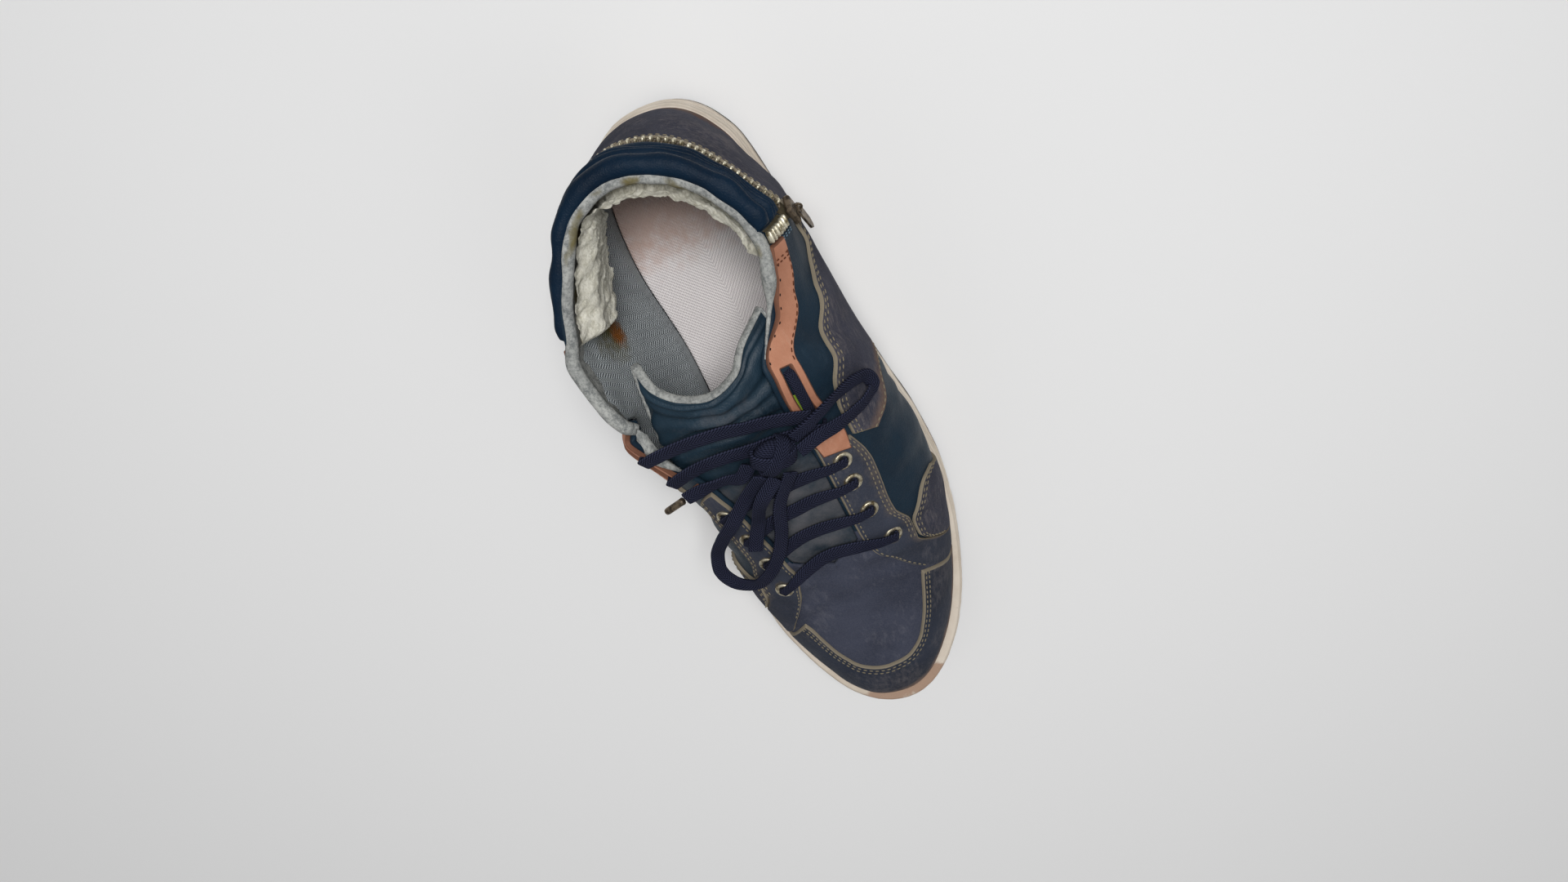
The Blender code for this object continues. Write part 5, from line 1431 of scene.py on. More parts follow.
    def fleece(self) -> None:
        """Pile inside the rear of the collar, ragged at its lower edge."""
        edge_line = np.array(((-0.32, 0.9), (-0.29, 0.52), (-0.24, 0.44), (-0.18, 0.44), (-0.12, 0.54),
            (-0.06, 0.78), (0.0, 0.82), (0.08, 0.82), (0.16, 0.8), (0.23, 0.78), (0.275, 0.82),
            (0.31, 0.92)))
        turn = np.linspace(-0.298, 0.308, 260)
        low = smooth_rows(edge_line[:, 0], edge_line[:, 1], turn)
        low = low + 0.01 * np.sin(turn * 260) + 0.008 * np.sin(turn * 610 + 1)
        share = np.linspace(0, 1, 70)
        climb = low[:, None] + (0.985 - low[:, None]) * share
        base = self.last.plain(turn[:, None], climb)
        sides = distances(base)
        border = np.minimum.reduce([sides[0], sides[1], sides[2], sides[3] + 0.0035])
        body = ramp(border, 0.0, 0.004)
        tufts = 0.0006 * waves(base, 0.007, 31) + 0.0003 * waves(base, 0.0026, 32)
        hang = 0.0058 * ramp(-turn, 0.04, 0.16)[:, None] * ramp(sides[3], 0.002, 0.014)
        swell = 0.004 * ramp(turn + 0.05, -0.05, 0.05)[:, None] * ramp(sides[2], 0.0, 0.006)
        depth = self.last.size.wall + 0.0004 + body * (0.0034 + hang + swell + tufts)
        points = base - self.last.normal(turn[:, None], climb) * depth[..., None]
        ragged = sides[3] + 0.0022 * waves(base, 0.009, 34)
        rim = 0.62 * (1 - ramp(ragged, 0.0, 0.005)) * ramp(waves(base, 0.011, 33), -0.1, 1.0)
        stain = np.maximum(rim, 0.35 * (1 - ramp(sides[2], 0.0, 0.004)))
        self.bench.grid("collar_fleece", points, "fleece", flip=True, uv=cloth_uv(base),
            marks=wear(0.0, 0.1, stain), slot="insole_knit")


@dataclass
class Cuff:
    """Padded cuff with rolled folds between the zip and the rim."""

    last: Last
    bench: Bench
    crown: float = 0.0042
    crease: float = 0.0012

    def build(self) -> None:
        """Four unequal rolls, then a round lip that turns in over the rim.

        The height of a roll at share s of its width is crease + crown * sin(pi s)^0.62,
        and the borders between the rolls wander a little round the heel.
        """
        line = np.array(ZIP_LINE)
        turn = np.linspace(-0.279, 0.268, 300)
        start = smooth_rows(line[:, 0], line[:, 1], turn) + 0.0052 / self.last.per_climb(turn)
        start = np.maximum(start, 0.79 * (np.abs(turn) > 0.25))
        share = np.linspace(0, 1, 84)
        climb = start[:, None] + (0.992 - start[:, None]) * share
        wander = 0.014 * np.sin(turn * 17 + 0.6) + 0.006 * np.sin(turn * 41)
        borders = np.stack([0 * turn, 0.28 + wander, 0.5 + 0.8 * wander, 0.73 + 0.5 * wander,
            0 * turn + 1.16], -1)
        place = np.zeros_like(climb)
        for k in range(4):
            inside = (share >= borders[:, [k]]) & (share < borders[:, [k + 1]])
            s = (share - borders[:, [k]]) / (borders[:, [k + 1]] - borders[:, [k]])
            place = np.where(inside, s, place)
        full = np.select([share < borders[:, [k]] for k in (1, 2, 3)], [0.62, 0.8, 0.96], 1.0)
        swell = np.abs(np.sin(np.pi * place)) ** 0.62 * full
        base = self.last.plain(turn[:, None], climb)
        sides = distances(base)
        ends = ramp(np.minimum(sides[0], sides[1]), 0.0, 0.006)
        slim = (1 - 0.42 * ramp(-turn, 0.05, 0.13)) * (0.3 + 0.7 * ramp(turn + 0.279, 0, 0.085))
        height = self.crease + self.crown * slim[:, None] * swell * (0.35 + 0.65 * ends)
        height += 0.00035 * waves(base, 0.016, 41) + 0.0005 * swell * np.sin(
            turn * 95 + 3 * share.mean())[:, None] * ramp(np.abs(turn), 0.1, 0.2)[:, None]
        edge = ramp(np.minimum(np.minimum(sides[0], sides[1]), sides[2]), 0.0, 0.0012)
        points = self.last.at(turn[:, None], climb, height * edge)
        normal = self.last.normal(turn, climb[:, -1])
        rim = points[:, -1]
        up = unit(rim - points[:, -4])
        reach = (height[:, -1] + self.last.size.wall * 0.8) / 2
        angle = np.linspace(0, np.pi, 10)[1:]
        lip = (rim[:, None] - normal[:, None] * ((1 - np.cos(angle)) * reach[:, None])[..., None] + up[:,
            None] * (np.sin(angle) * reach[:, None] * 0.8)[..., None])
        points = np.concatenate([points, lip], 1)
        obj = self.bench.grid("padded_cuff", points, "cuff_leather", uv=cloth_uv(points),
            replaces=("collar_cuff",), slot="cuff_leather")


@dataclass
class Zip:
    """Brass zip round the heel: woven tape, interlocked teeth and the end run."""

    last: Last
    bench: Bench
    pitch: float = 0.0028

    def path(self, first: float, final: float) -> tuple[Array, Array, Array]:
        """Fine turns and climbs of the zip's line with the length along it.

        Args:
            first: first turn.
            final: last turn.

        Returns:
            Turns, climbs and lengths.
        """
        line = np.array(ZIP_LINE)
        turn = np.linspace(first, final, 900)
        climb = smooth_rows(line[:, 0], line[:, 1], turn)
        run = np.linalg.norm(np.diff(self.last.plain(turn, climb), axis=0), axis=1)
        return turn, climb, np.r_[0, np.cumsum(run)]

    def tape(self) -> None:
        """Flat tape under the teeth, a little raised at its middle."""
        turn, climb, _ = self.path(-0.272, 0.2885)
        turn, climb = turn[::3], climb[::3]
        across = np.linspace(-1, 1, 15)
        width = 0.0046 / self.last.per_climb(turn)
        level = climb[:, None] + width[:, None] * across
        lift = 0.0009 * np.sqrt(np.clip(1 - across ** 6, 0, 1))[None] + 0 * level
        points = self.last.at(turn[:, None], level, lift)
        self.bench.grid("zip_cloth", points, "zip_tape", uv=cloth_uv(points), marks=(0.0, 0.45, 0.0),
            replaces=("zip_tape",), slot="zip_tape")

    def teeth(self) -> None:
        """Row of bright teeth, the ones between them darkened as painted shade, and the larger end run."""
        turn, climb, run = self.path(-0.27, 0.268)
        count = int(run[-1] / self.pitch)
        shape = bead(0.5, 8, 7)
        # The second row is the same brass teeth in the darker zip_slider metal: painted shade for the row
        # that lies in shadow between the bright ones.
        for name, finish, shift, lift, size in (("zip_elements", "zip_brass", 0.0, 0.0018,
                (0.0011, 0.0027, 0.0021)), ("zip_hooks", "zip_slider", 0.5, 0.0008, (0.0011, 0.003,
                0.0012))):
            marks = (np.arange(count) + shift) * run[-1] / count
            at_turn, at_climb = np.interp(marks, run, turn), np.interp(marks, run, climb)
            places = self.last.at(at_turn, at_climb, np.full(count, lift))
            ahead = np.interp(marks + 0.001, run, turn), np.interp(marks + 0.001, run, climb)
            along = self.last.plain(*ahead) - self.last.plain(at_turn, at_climb)
            self.bench.copies(name, shape, places, along, self.last.normal(at_turn, at_climb),
                np.tile(size, (count, 1)), finish, replaces=("zip_teeth",), slot="zip_brass")
        rise = np.linspace(0.8, 0.985, 7)
        turn = np.full(7, 0.28)
        places = self.last.at(turn, rise, np.full(7, 0.0018))
        along = self.last.plain(turn, rise + 0.01) - self.last.plain(turn, rise)
        size = np.tile([0.0011, 0.0048, 0.0024], (7, 1))
        self.bench.copies("zip_end_run", shape, places, along, self.last.normal(turn, rise), size,
            "zip_brass", replaces=("zip_riser",), slot="zip_brass")
        fine = np.linspace(0.79, 0.992, 40)
        across = np.linspace(-0.0105, 0.0105, 9)
        wide = 0.2795 + np.repeat(across[None], 40, 0)
        level = np.repeat(fine[:, None], 9, 1)
        lift = 0.001 * np.sqrt(np.clip(1 - (across / 0.0105) ** 6, 0, 1))[None] + 0 * level
        points = self.last.at(wide, level, lift)
        self.bench.grid("zip_end_cloth", points, "zip_tape", flip=True,
            uv=np.stack([wide * 350, level * 90], -1), marks=(0.3, 0.3, 0.3), slot="zip_tape")


@dataclass
class Sole:
    """Cup sole's wall with its lines, and the dark tread under it."""

    last: Last
    bench: Bench

    def wall(self) -> None:
        """Rings of the outline at chosen insets and shares of the wall's height.

        The last three rings lie on the ledge and go in to the upper's foot.
        """
        turn = np.linspace(-1, 1, 560, endpoint=False)
        profile = np.array(((0.001, 0.0), (0.0006, 0.02), (0.0003, 0.06), (0.0002, 0.12), (0.0002, 0.3),
            (0.0003, 0.44), (0.0005, 0.465), (0.0011, 0.485), (0.0014, 0.505), (0.0014, 0.535),
            (0.0011, 0.56), (0.001, 0.585), (0.001, 0.62), (0.0012, 0.78), (0.0014, 0.8), (0.0018, 0.812),
            (0.0018, 0.83), (0.0015, 0.842), (0.0015, 0.93), (0.0018, 0.965), (0.0023, 0.99), (0.003, 1.0)))
        inner = self.last.feather(turn)[:, None]
        inset = np.concatenate([np.repeat(profile[None, :, 0], len(turn), 0), inner * 0.55 + 0.0014,
            inner + 0.0004, inner + 0.001], 1)
        share = np.r_[profile[:, 1], 0.998, 0.975, 0.7]
        around = np.repeat(turn[:, None], len(share), 1)
        plan, _ = self.last.outline(around, inset)
        x = plan[..., 0]
        low = self.last.bottom(x) + 0.0043
        z = low + (self.last.wall_top(x) - low) * share
        points = np.concatenate([plan, z[..., None]], -1)
        rough = 0.00012 * waves(points, 0.02, 51) + 0.00006 * waves(points, 0.005, 52)
        points = points + self.last.outline(around)[1][..., [0, 1, 1]] * (1, 1, 0) * rough[..., None]
        toe = ramp(np.abs(turn)[:, None] + 0.012 * waves(points, 0.012, 55), 0.84, 0.93)
        worn = toe * ramp(waves(points, 0.05, 53), -1.8, -0.2) * (np.arange(len(share)) < 23)
        dirt = (0.75 * (1 - ramp(share, 0.0, 0.5)) + 0.25)[None] + 0.15 * waves(points, 0.04, 54)
        # The third mark is no stain here: it darkens the two groove lines and the line where the ledge
        # meets the upper.
        line = sum(tone * np.exp(-((share - level) / width) ** 2) for tone, level,
            width in ((1.0, 0.52, 0.03), (1.0, 0.82, 0.018), (0.55, 0.985, 0.012)))
        marks = wear(np.clip(worn, 0, 1), np.clip(dirt, 0, 1), line[None])
        uv = np.stack([around * 350, z * 1000], -1)
        self.bench.grid("cup_sole", points, "midsole_rubber", closed=True, uv=uv, marks=marks,
            replaces=("midsole",), slot="midsole_rubber")

    def tread(self) -> None:
        """Underside as shrinking copies of the outline, with bars cut across by a wave."""
        turn = np.linspace(-1, 1, 360, endpoint=False)
        side = np.array(((0.0006, 0.0043), (0.0004, 0.0036), (0.0004, 0.0014), (0.001, 0.0004)))
        plan, _ = self.last.outline(np.repeat(turn[:, None], 4, 1),
            np.repeat(side[None, :, 0], len(turn), 0))
        z = self.last.bottom(plan[..., 0]) + side[:, 1]
        outer = np.concatenate([plan, z[..., None]], -1)
        share = np.r_[0, 0.02, 0.035, np.linspace(0.05, 1, 60)]
        edge = self.last.outline(turn, np.full(len(turn), 0.0016))[0]
        spine = np.stack([np.clip(edge[:, 0], -0.03, 0.246), 0 * edge[:, 1] - 0.003], -1)
        plan = edge[:, None] + (spine - edge)[:, None] * share[None, :, None]
        x, y = plan[..., 0], plan[..., 1]
        phase = (x + 0.35 * np.abs(y + 0.003)) / 0.0075
        groove = ramp(np.abs((phase % 1) - 0.5), 0.3, 0.4) * (share > 0.03)
        z = self.last.bottom(x) + 0.0013 * groove
        inner = np.concatenate([plan, z[..., None]], -1)
        points = np.concatenate([outer, inner], 1)
        dirt = 0.35 + 0.35 * np.concatenate([0 * outer[..., 0], groove], 1)
        self.bench.grid("tread", points, "outsole_rubber", closed=True, flip=True,
            uv=points[..., :2] * 1000, marks=wear(0.0, dirt, 0.0), replaces=("outsole",),
            slot="outsole_rubber")


@dataclass
class Tongue:
    """Padded leather tongue with a cloth back and a bound edge."""

    last: Last
    bench: Bench
    edge: tuple = ((-1.0, 0.2713, -0.29, 0.985), (-0.7, 0.3, -0.268, 1.02), (-0.35, 0.3296, -0.185, 1.052),
        (0.0, 0.3424, -0.075, 1.066), (0.35, 0.3305, 0.035, 1.056), (0.7, 0.3039, 0.1, 1.03),
        (1.0, 0.276, 0.205, 0.985))

    def rows(self, sides: Array) -> Array:
        """Lines across the tongue from its base to its free edge.

        Args:
            sides: places across the tongue, -1 to 1.

        Returns:
            Points, row by row.
        """
        turns = np.array([0.7, 0.67, 0.635, 0.6, 0.57, 0.54, 0.51])
        swell = np.clip((0.665 - turns) / 0.05, 0, 1)
        crown = np.where(np.abs(sides) < 0.5, np.cos(np.pi * sides) ** 2, 0) * 0.001
        lines = []
        for turn, share in zip(turns, swell):
            spread = np.where(sides < 0, 0.56, 0.66)
            climb = 1 - (1 - spread) * np.abs(sides)
            where = np.where(sides < 0, -turn, turn)
            depth = crown * share - 0.0033
            lines.append(self.last.plain(where, climb) + self.last.normal(where, climb) * depth[:, None])
        middle = len(sides) // 2
        table = np.array(self.edge)
        size = self.last.size
        top = smooth_rows(table[:, 0], table[:, 1:], sides)
        top = top * (size.length, size.ball_width, size.collar_height) - (size.heel_set, 0, 0)
        start, pull = lines[-1], lines[-1] - lines[-2]
        for s in (0.25, 0.5, 0.75, 1.0):
            bend = 3 * s * (1 - s) ** 2 * 1.2
            lines.append(start * (1 - s) ** 2 * (1 + 2 * s) + top * s * s * (3 - 2 * s) + pull * bend * 0.5)
        lines = np.array(lines)
        lines[:, middle] = (lines[:, middle - 1] + lines[:, middle + 1]) / 2 + (lines[:,
            middle] - (lines[:, middle - 1] + lines[:, middle + 1]) / 2) * 0.6
        return lines

    def build(self) -> None:
        """Leather face, cloth back, and a soft binding round the free edge."""
        sides = np.linspace(-1, 1, 61)
        rough = self.rows(sides)
        places = np.linspace(0, 1, len(rough))
        fine = np.linspace(0, 1, 110)
        face = smooth_rows(places, rough.reshape(len(rough), -1), fine).reshape(110, 61, 3)
        along = np.gradient(face, axis=0)
        across = np.gradient(face, axis=1)
        normal = unit(np.cross(along, -across))
        normal *= np.where(normal[..., [2]] < 0, -1, 1)
        free = ramp(fine, 0.55, 0.75)[:, None]
        wrinkle = self._wrinkles(face, fine, sides)
        border = np.minimum(1 - np.abs(sides)[None] + 0 * free, (1 - fine)[:, None] * 2.0)
        puff = 0.0012 * ramp(border, 0.0, 0.25) * (0.4 + 0.6 * free)
        outer = face + normal * (wrinkle * ramp(border, 0, 0.1) * (0.35 + 0.65 * free) + puff - 0.0006)[...,
            None]
        inner = face - normal * 0.0032
        rub = 0.5 * np.exp(-((fine[:, None] - 0.8) / 0.1) ** 2) * np.exp(-(sides / 0.6) ** 2)
        rub += (1 - ramp(fine, 0.42, 0.56))[:, None] * (0.66 + 0.12 * waves(face, 0.012, 62))
        uv = cloth_uv(face)[..., ::-1]
        self.bench.grid("tongue_face", outer, "tongue_leather", uv=uv, marks=wear(0.0, rub, 0.0),
            replaces=("tongue",), slot="tongue_leather")
        self.bench.grid("tongue_back", inner, "grey_lining", flip=True, uv=uv, marks=(0.0, 0.3, 0.0),
            slot="insole_knit")
        rim = np.concatenate([face[40:, 0], face[-1, 1:-1], face[40:, -1][::-1]])
        up = np.concatenate([normal[40:, 0], normal[-1, 1:-1], normal[40:, -1][::-1]])
        back = rim - up * 0.0016
        along = unit(np.gradient(back, axis=0))
        out = unit(np.cross(along, up))
        angle = np.linspace(0, 2 * np.pi, 12, endpoint=False)
        ring = (back[:, None] + out[:, None] * (np.cos(angle) * 0.0008)[None, :, None] + up[:,
            None] * (np.sin(angle) * 0.0019)[None, :, None])
        ring = np.concatenate([ring, ring[:, :1]], 1)
        self.bench.grid("tongue_binding", ring, "edge_binding", uv=cloth_uv(ring), marks=(0.0, 0.45, 0.0),
            weld=1e-6, slot="insole_knit")

    @staticmethod
    def _wrinkles(face: Array, fine: Array, sides: Array) -> Array:
        """Cross folds of a flexed tongue: a few soft troughs that wander sideways.

        Args:
            face: grid of the tongue.
            fine: places along it.
            sides: places across the tongue, -1 to 1.

        Returns:
            Heights, in metres.
        """
        total = np.zeros(face.shape[:2])
        for place, lean, depth, width in ((0.6, 0.02, 1.1, 0.018), (0.68, -0.03, 1.3, 0.02),
                (0.75, 0.03, 1.0, 0.016), (0.82, -0.02, 1.2, 0.022), (0.89, 0.02, 0.8, 0.018),
                (0.95, 0.01, 0.5, 0.014)):
            centre = place + lean * sides + 0.01 * np.sin(sides * 5 + place * 20)
            q = (fine[:, None] - centre[None]) / width
            total -= depth * 0.001 * (np.exp(-q ** 2) - 0.4 * np.exp(-(np.abs(q) - 1.6) ** 2))
        return total + 0.0004 * waves(face, 0.014, 61)


@dataclass
class Eyelets:
    """Old brass rings, each with a dark disc in its hole as painted shade."""

    last: Last
    bench: Bench

    def centres(self, side: Side) -> Array:
        """Centre of each ring on the last."""
        spots = np.array(EYELETS_OUTER if side is Side.OUTER else EYELETS_INNER)
        return self.last.plain(spots[:, 0] * side.value, spots[:, 1])

    def build(self) -> None:
        """Turned rings: an oval bead swept round the hole, flatter outside."""
        around = np.linspace(0, 2 * np.pi, 28, endpoint=False)
        profile = np.linspace(0, 2 * np.pi, 10, endpoint=False)
        a, b = np.meshgrid(around, profile, indexing="ij")
        radius = 0.0032 + 0.00088 * np.cos(b)
        height = 0.00062 * np.sin(b)
        ring = np.stack([radius * np.cos(a), radius * np.sin(a), height], -1)
        ring = np.concatenate([ring, ring[:, :1]], 1)
        for side, word, spots in ((Side.OUTER, "lateral", EYELETS_OUTER),
                (Side.INNER, "medial", EYELETS_INNER)):
            for number, (turn, climb) in enumerate(spots, 1):
                turn, climb = np.array(turn * side.value), np.array(climb)
                up = self.last.normal(turn, climb)
                along = unit(np.cross(up, (0.0, 0.0, 1.0)))
                across = np.cross(up, along)
                centre = self.last.at(turn, climb, 0.0018)
                points = (centre + ring[..., [0]] * along + ring[..., [1]] * across + ring[..., [2]] * up)
                self.bench.grid(f"ring_{word}_{number}", points, "eyelet_brass", closed=True,
                    replaces=(f"eyelet_{word}_{number}",), slot="eyelet_brass", weld=1e-6)
                # Dark disc in each hole, in the hole_shade finish: painted shade for the inside of the
                # eyelet.
                disc = np.stack([np.cos(around), np.sin(around)], -1)[:,
                    None] * np.array([0.0026, 0.0014, 0.0])[None, :, None]
                hole = (centre - up * 0.0001 + disc[..., [0]] * along + disc[..., [1]] * across)
                self.bench.grid(f"hole_{word}_{number}", hole, "hole_shade", closed=True)


@dataclass
class Laces:
    """Flat navy lace: crossings, strands over the tongue, and the bow."""

    last: Last
    bench: Bench
    width: float = 0.0066
    thickness: float = 0.0017

    def ribbon(self, name: str, path: Array, up: Array, width: Array | float | None = None,
            count: int = 120, replaces: tuple[str, ...] = ()) -> tuple:
        """Flat lace along a path.

        The section is a rounded oblong: |x|^2.6 + |z|^2.6 = 1 in half widths, a
        little hollow along the middle.

        Args:
            name: name to give.
            path: points to follow.
            up: upward direction.
            width: width, or widths along it, in metres.
            count: number of steps.
            replaces: solids that it stands for.

        Returns:
            The object, its centre line and its length.
        """
        run = np.r_[0, np.cumsum(np.linalg.norm(np.diff(path, axis=0), axis=1))]
        even = np.linspace(0, run[-1], count)
        centre = smooth_rows(run, path, even)
        up = unit(smooth_rows(run, up, even))
        along = unit(np.gradient(centre, axis=0))
        side = unit(np.cross(up, along))
        up = np.cross(along, side)
        wide = np.full(count, self.width) if width is None else smooth_rows(np.linspace(0, 1,
            len(np.atleast_1d(width))), np.atleast_1d(width),
            np.linspace(0, 1, count)) if np.ndim(width) else np.full(count, float(width))
        angle = np.linspace(0, 2 * np.pi, 25)
        cos, sin = np.cos(angle), np.sin(angle)
        x = np.sign(cos) * np.abs(cos) ** 0.6
        z = np.sign(sin) * np.abs(sin) ** 0.75 * (0.82 + 0.18 * np.abs(x))
        thick = self.thickness * (self.width / np.maximum(wide, 0.002)) ** 0.45
        points = (centre[:, None] + side[:, None] * (x[None] * wide[:, None] / 2)[..., None] + up[:,
            None] * (z[None] * thick[:, None] / 2)[..., None])
        caps = centre[[0, -1]][:, None] + 0 * points[:1]
        points = np.concatenate([caps[:1], points, caps[1:]])
        length = np.r_[0, even, even[-1]] * 1000
        uv = np.stack([np.repeat((x * 3.3)[None], count + 2, 0), np.repeat(length[:, None], 25, 1)], -1)
        obj = self.bench.grid(name, points, "navy_lace", flip=True, uv=uv, marks=(0.0, 0.18, 0.0),
            replaces=replaces, slot="navy_lace", weld=1e-6)
        return obj, centre, run[-1]

    def across(self, outer: tuple, inner: tuple, lift_end: float, lift_middle: float,
            flat: float = 0.74) -> tuple[Array, Array]:
        """Path and normals of a crossing from the outer spot to the inner one.

        Args:
            outer: the outer side's part.
            inner: the inner side's part.
            lift_end: height over the last at the ends.
            lift_middle: height in the middle.
            flat: share of the half width over which it climbs.

        Returns:
            The path and its normals.
        """
        v = np.linspace(1, -1, 25)
        away = np.abs(v)
        middle = (outer[0] + inner[0]) / 2
        turn = middle + (np.where(v >= 0, outer[0], inner[0]) - middle) * away
        climb = 1 - (1 - np.where(v >= 0, outer[1], inner[1])) * away
        lift = lift_middle + (lift_end - lift_middle) * np.clip(away / flat, 0, 1) ** 1.6
        signed = np.where(v >= 0, turn, -turn)
        normal = self.last.normal(signed, climb)
        path = self.last.plain(signed, climb) + normal * lift[:, None]
        path[12] = (path[11] + path[13]) / 2
        normal[12] = normal[11] + normal[13]
        return path, unit(normal)

    def crossings(self) -> None:
        """Lace bars between the rings, which dive into the holes at both ends."""
        for number, (outer, inner) in enumerate(zip(EYELETS_OUTER, EYELETS_INNER), 1):
            path, normal = self.across(outer, inner, 0.0036, 0.0002)
            path = path + normal * (0.0003 * waves(path, 0.03, number + 70))[:, None]
            first, final = normal[0], normal[-1]
            outward = unit(path[0] - path[1]), unit(path[-1] - path[-2])
            ends = []
            for point, direction, up in ((path[0], outward[0], first), (path[-1], outward[1], final)):
                ends.append([point + direction * 0.0006 - up * 0.0004,
                    point + direction * 0.0011 - up * 0.0018, point + direction * 0.001 - up * 0.0034])
            path = np.concatenate([ends[0][::-1], path[1:-1], ends[1]])
            normal = np.concatenate([[outward[0], unit(outward[0] + first), first], normal[1:-1],
                [final, unit(outward[1] + final), outward[1]]])
            width = np.array([0.0034, 0.004, 0.0058, 0.0068, 0.007, 0.0068, 0.0058, 0.004, 0.0034])
            self.ribbon(f"lace_crossing_{number}", path, normal, width, replaces=(f"lace_bar_{number}",))

    def strands(self) -> None:
        """Upper strands that run from the collar's edges to the knot."""
        layers = (((0.52, 0.745), (0.503, 0.64)), ((0.5, 0.77), (0.474, 0.655)))
        for number, (outer, inner) in enumerate(layers, 1):
            path, normal = self.across(outer, inner, 0.0042, 0.0002, 0.9)
            path[[0, -1]] -= normal[[0, -1]] * 0.0044
            width = np.array([0.0044, 0.0062, 0.0066, 0.0066, 0.0066, 0.0066, 0.0062, 0.004])
            self.ribbon(f"lace_over_{number}", path, normal, width, replaces=(f"lace_strand_{number}",))

    def slot(self) -> None:
        """Lace that comes up through the slot of the tan trim, and the lime lining in it."""
        spots = np.array(((0.456, 0.768, -0.0012), (0.461, 0.77, 0.001), (0.47, 0.771, 0.002),
            (0.484, 0.772, 0.0024), (0.497, 0.773, 0.002), (0.505, 0.774, -0.001)))
        normal = self.last.normal(spots[:, 0], spots[:, 1])
        path = self.last.plain(spots[:, 0], spots[:, 1]) + normal * spots[:, [2]]
        self.ribbon("lace_in_slot", path, normal, 0.0042, 60)
        turn = 0.4885 + 0.0085 * np.linspace(-1, 1, 12)[:, None] + np.zeros((1, 10))
        climb = 0.786 + 0.013 * np.linspace(-1, 1, 10)[None] + np.zeros((12, 1))
        points = self.last.at(turn, climb, 0.0007 + 0.0 * turn)
        self.bench.grid("lime_lining", points, "lime_tag", slot="navy_lace", uv=cloth_uv(points))

    def bow(self) -> None:
        """Knot, loops and ends, on the routes of their solids."""
        place = np.array(0.515), np.array(0.945)
        up = self.last.normal(*place)
        knot = self.last.plain(*place) + up * 0.0066
        on_cord = {"lace_loop_1": self.knot(knot, up), "lace_end_2": [self.tip(knot)]}
        for name, node, route, count, lay, far in (("bow_loop_outer", "lace_loop_1", LOOP_OUTER, 15,
                "loose", "object"), ("bow_loop_inner", "lace_loop_2", LOOP_INNER, 19, "hanging", "object"),
                ("bow_end_short", "lace_end_1", END_SHORT, 8, "loose", "bare"),
                ("bow_end_long", "lace_end_2", END_LONG, 8, "loose", "fitting")):
            path = smooth_path(np.array(route) + knot, 60)
            face = self._faces(path, up)
            obj, centre, length = self.ribbon(name, path, face, 0.006, 160, (node,))

    @staticmethod
    def _faces(path: Array, up: Array) -> Array:
        """Width directions that keep the lace's face up, with a slow twist.

        Args:
            path: points to follow.
            up: upward direction.

        Returns:
            Unit vectors.
        """
        share = np.linspace(0, 1, len(path))
        along = unit(np.gradient(path, axis=0))
        face = up[None] + 0.25 * np.sin(share * 9)[:, None] * np.cross(along, up)
        return unit(face - along * np.sum(face * along, axis=1, keepdims=True))

    def knot(self, centre: Array, up: Array) -> list[bpy.types.Object]:
        """A squashed core with two bands wrapped over it.

        Args:
            centre: centre of the knot.
            up: upward direction.

        Returns:
            The knot's three pieces.
        """
        side = unit(np.cross(up, (1.0, 0.0, 0.0)))
        ahead = np.cross(side, up)
        a, b = np.meshgrid(np.linspace(0, 2 * np.pi, 48, endpoint=False),
            np.linspace(-np.pi / 2, np.pi / 2, 25), indexing="ij")
        form = np.stack([0.0072 * np.cos(b) * np.cos(a), 0.0084 * np.cos(b) * np.sin(a),
            0.004 * np.sin(b) * (1 + 0.1 * np.cos(2 * a))], -1)
        points = (centre + form[..., [0]] * ahead + form[..., [1]] * side + form[..., [2]] * up)
        uv = np.stack([a * 5, b * 8], -1)
        pieces = [self.bench.grid("knot_core", points, "navy_lace", closed=True, flip=True, uv=uv,
            replaces=("lace_knot",), slot="navy_lace")]
        for number, (lean, wide) in enumerate(((0.35, 0.0062), (-0.75, 0.0056)), 1):
            t = np.linspace(-0.15 * np.pi, 1.15 * np.pi, 40)
            across = side * math.cos(lean) + ahead * math.sin(lean)
            path = (centre + across * (np.cos(t) * 0.0084)[:,
                None] + up * (np.sin(t) * (0.0046 + 0.0006 * number))[:, None])
            face = across * (np.cos(t) * 0.6)[:, None] + up * np.sin(t)[:, None]
            pieces.append(self.ribbon(f"knot_band_{number}", path, unit(face), wide, 60)[0])
        return pieces

    def tip(self, knot: Array) -> bpy.types.Object:
        """Stiff tip of the lace: a slim tube with a slight taper.

        Args:
            knot: centre of the knot.

        Returns:
            The new object.
        """
        ends = np.array(LACE_TIP) + knot
        t = np.linspace(0, 1, 12)
        centre = ends[0] + (ends[1] - ends[0]) * t[:, None]
        along = unit(ends[1] - ends[0])
        side = unit(np.cross(along, (0.0, 0.0, 1.0)))
        up = np.cross(side, along)
        angle = np.linspace(0, 2 * np.pi, 14, endpoint=False)
        radius = np.r_[0.0, 0.0016, np.full(8, 0.0015), 0.0013, 0.0]
        points = (centre[:, None] + side * (np.cos(angle) * radius[:, None])[...,
            None] + up * (np.sin(angle) * radius[:, None])[..., None])
        points = np.concatenate([points, points[:, :1]], 1)
        return self.bench.grid("aglet", points, "zip_slider", replaces=("lace_tip",), slot="navy_lace",
            weld=1e-6)


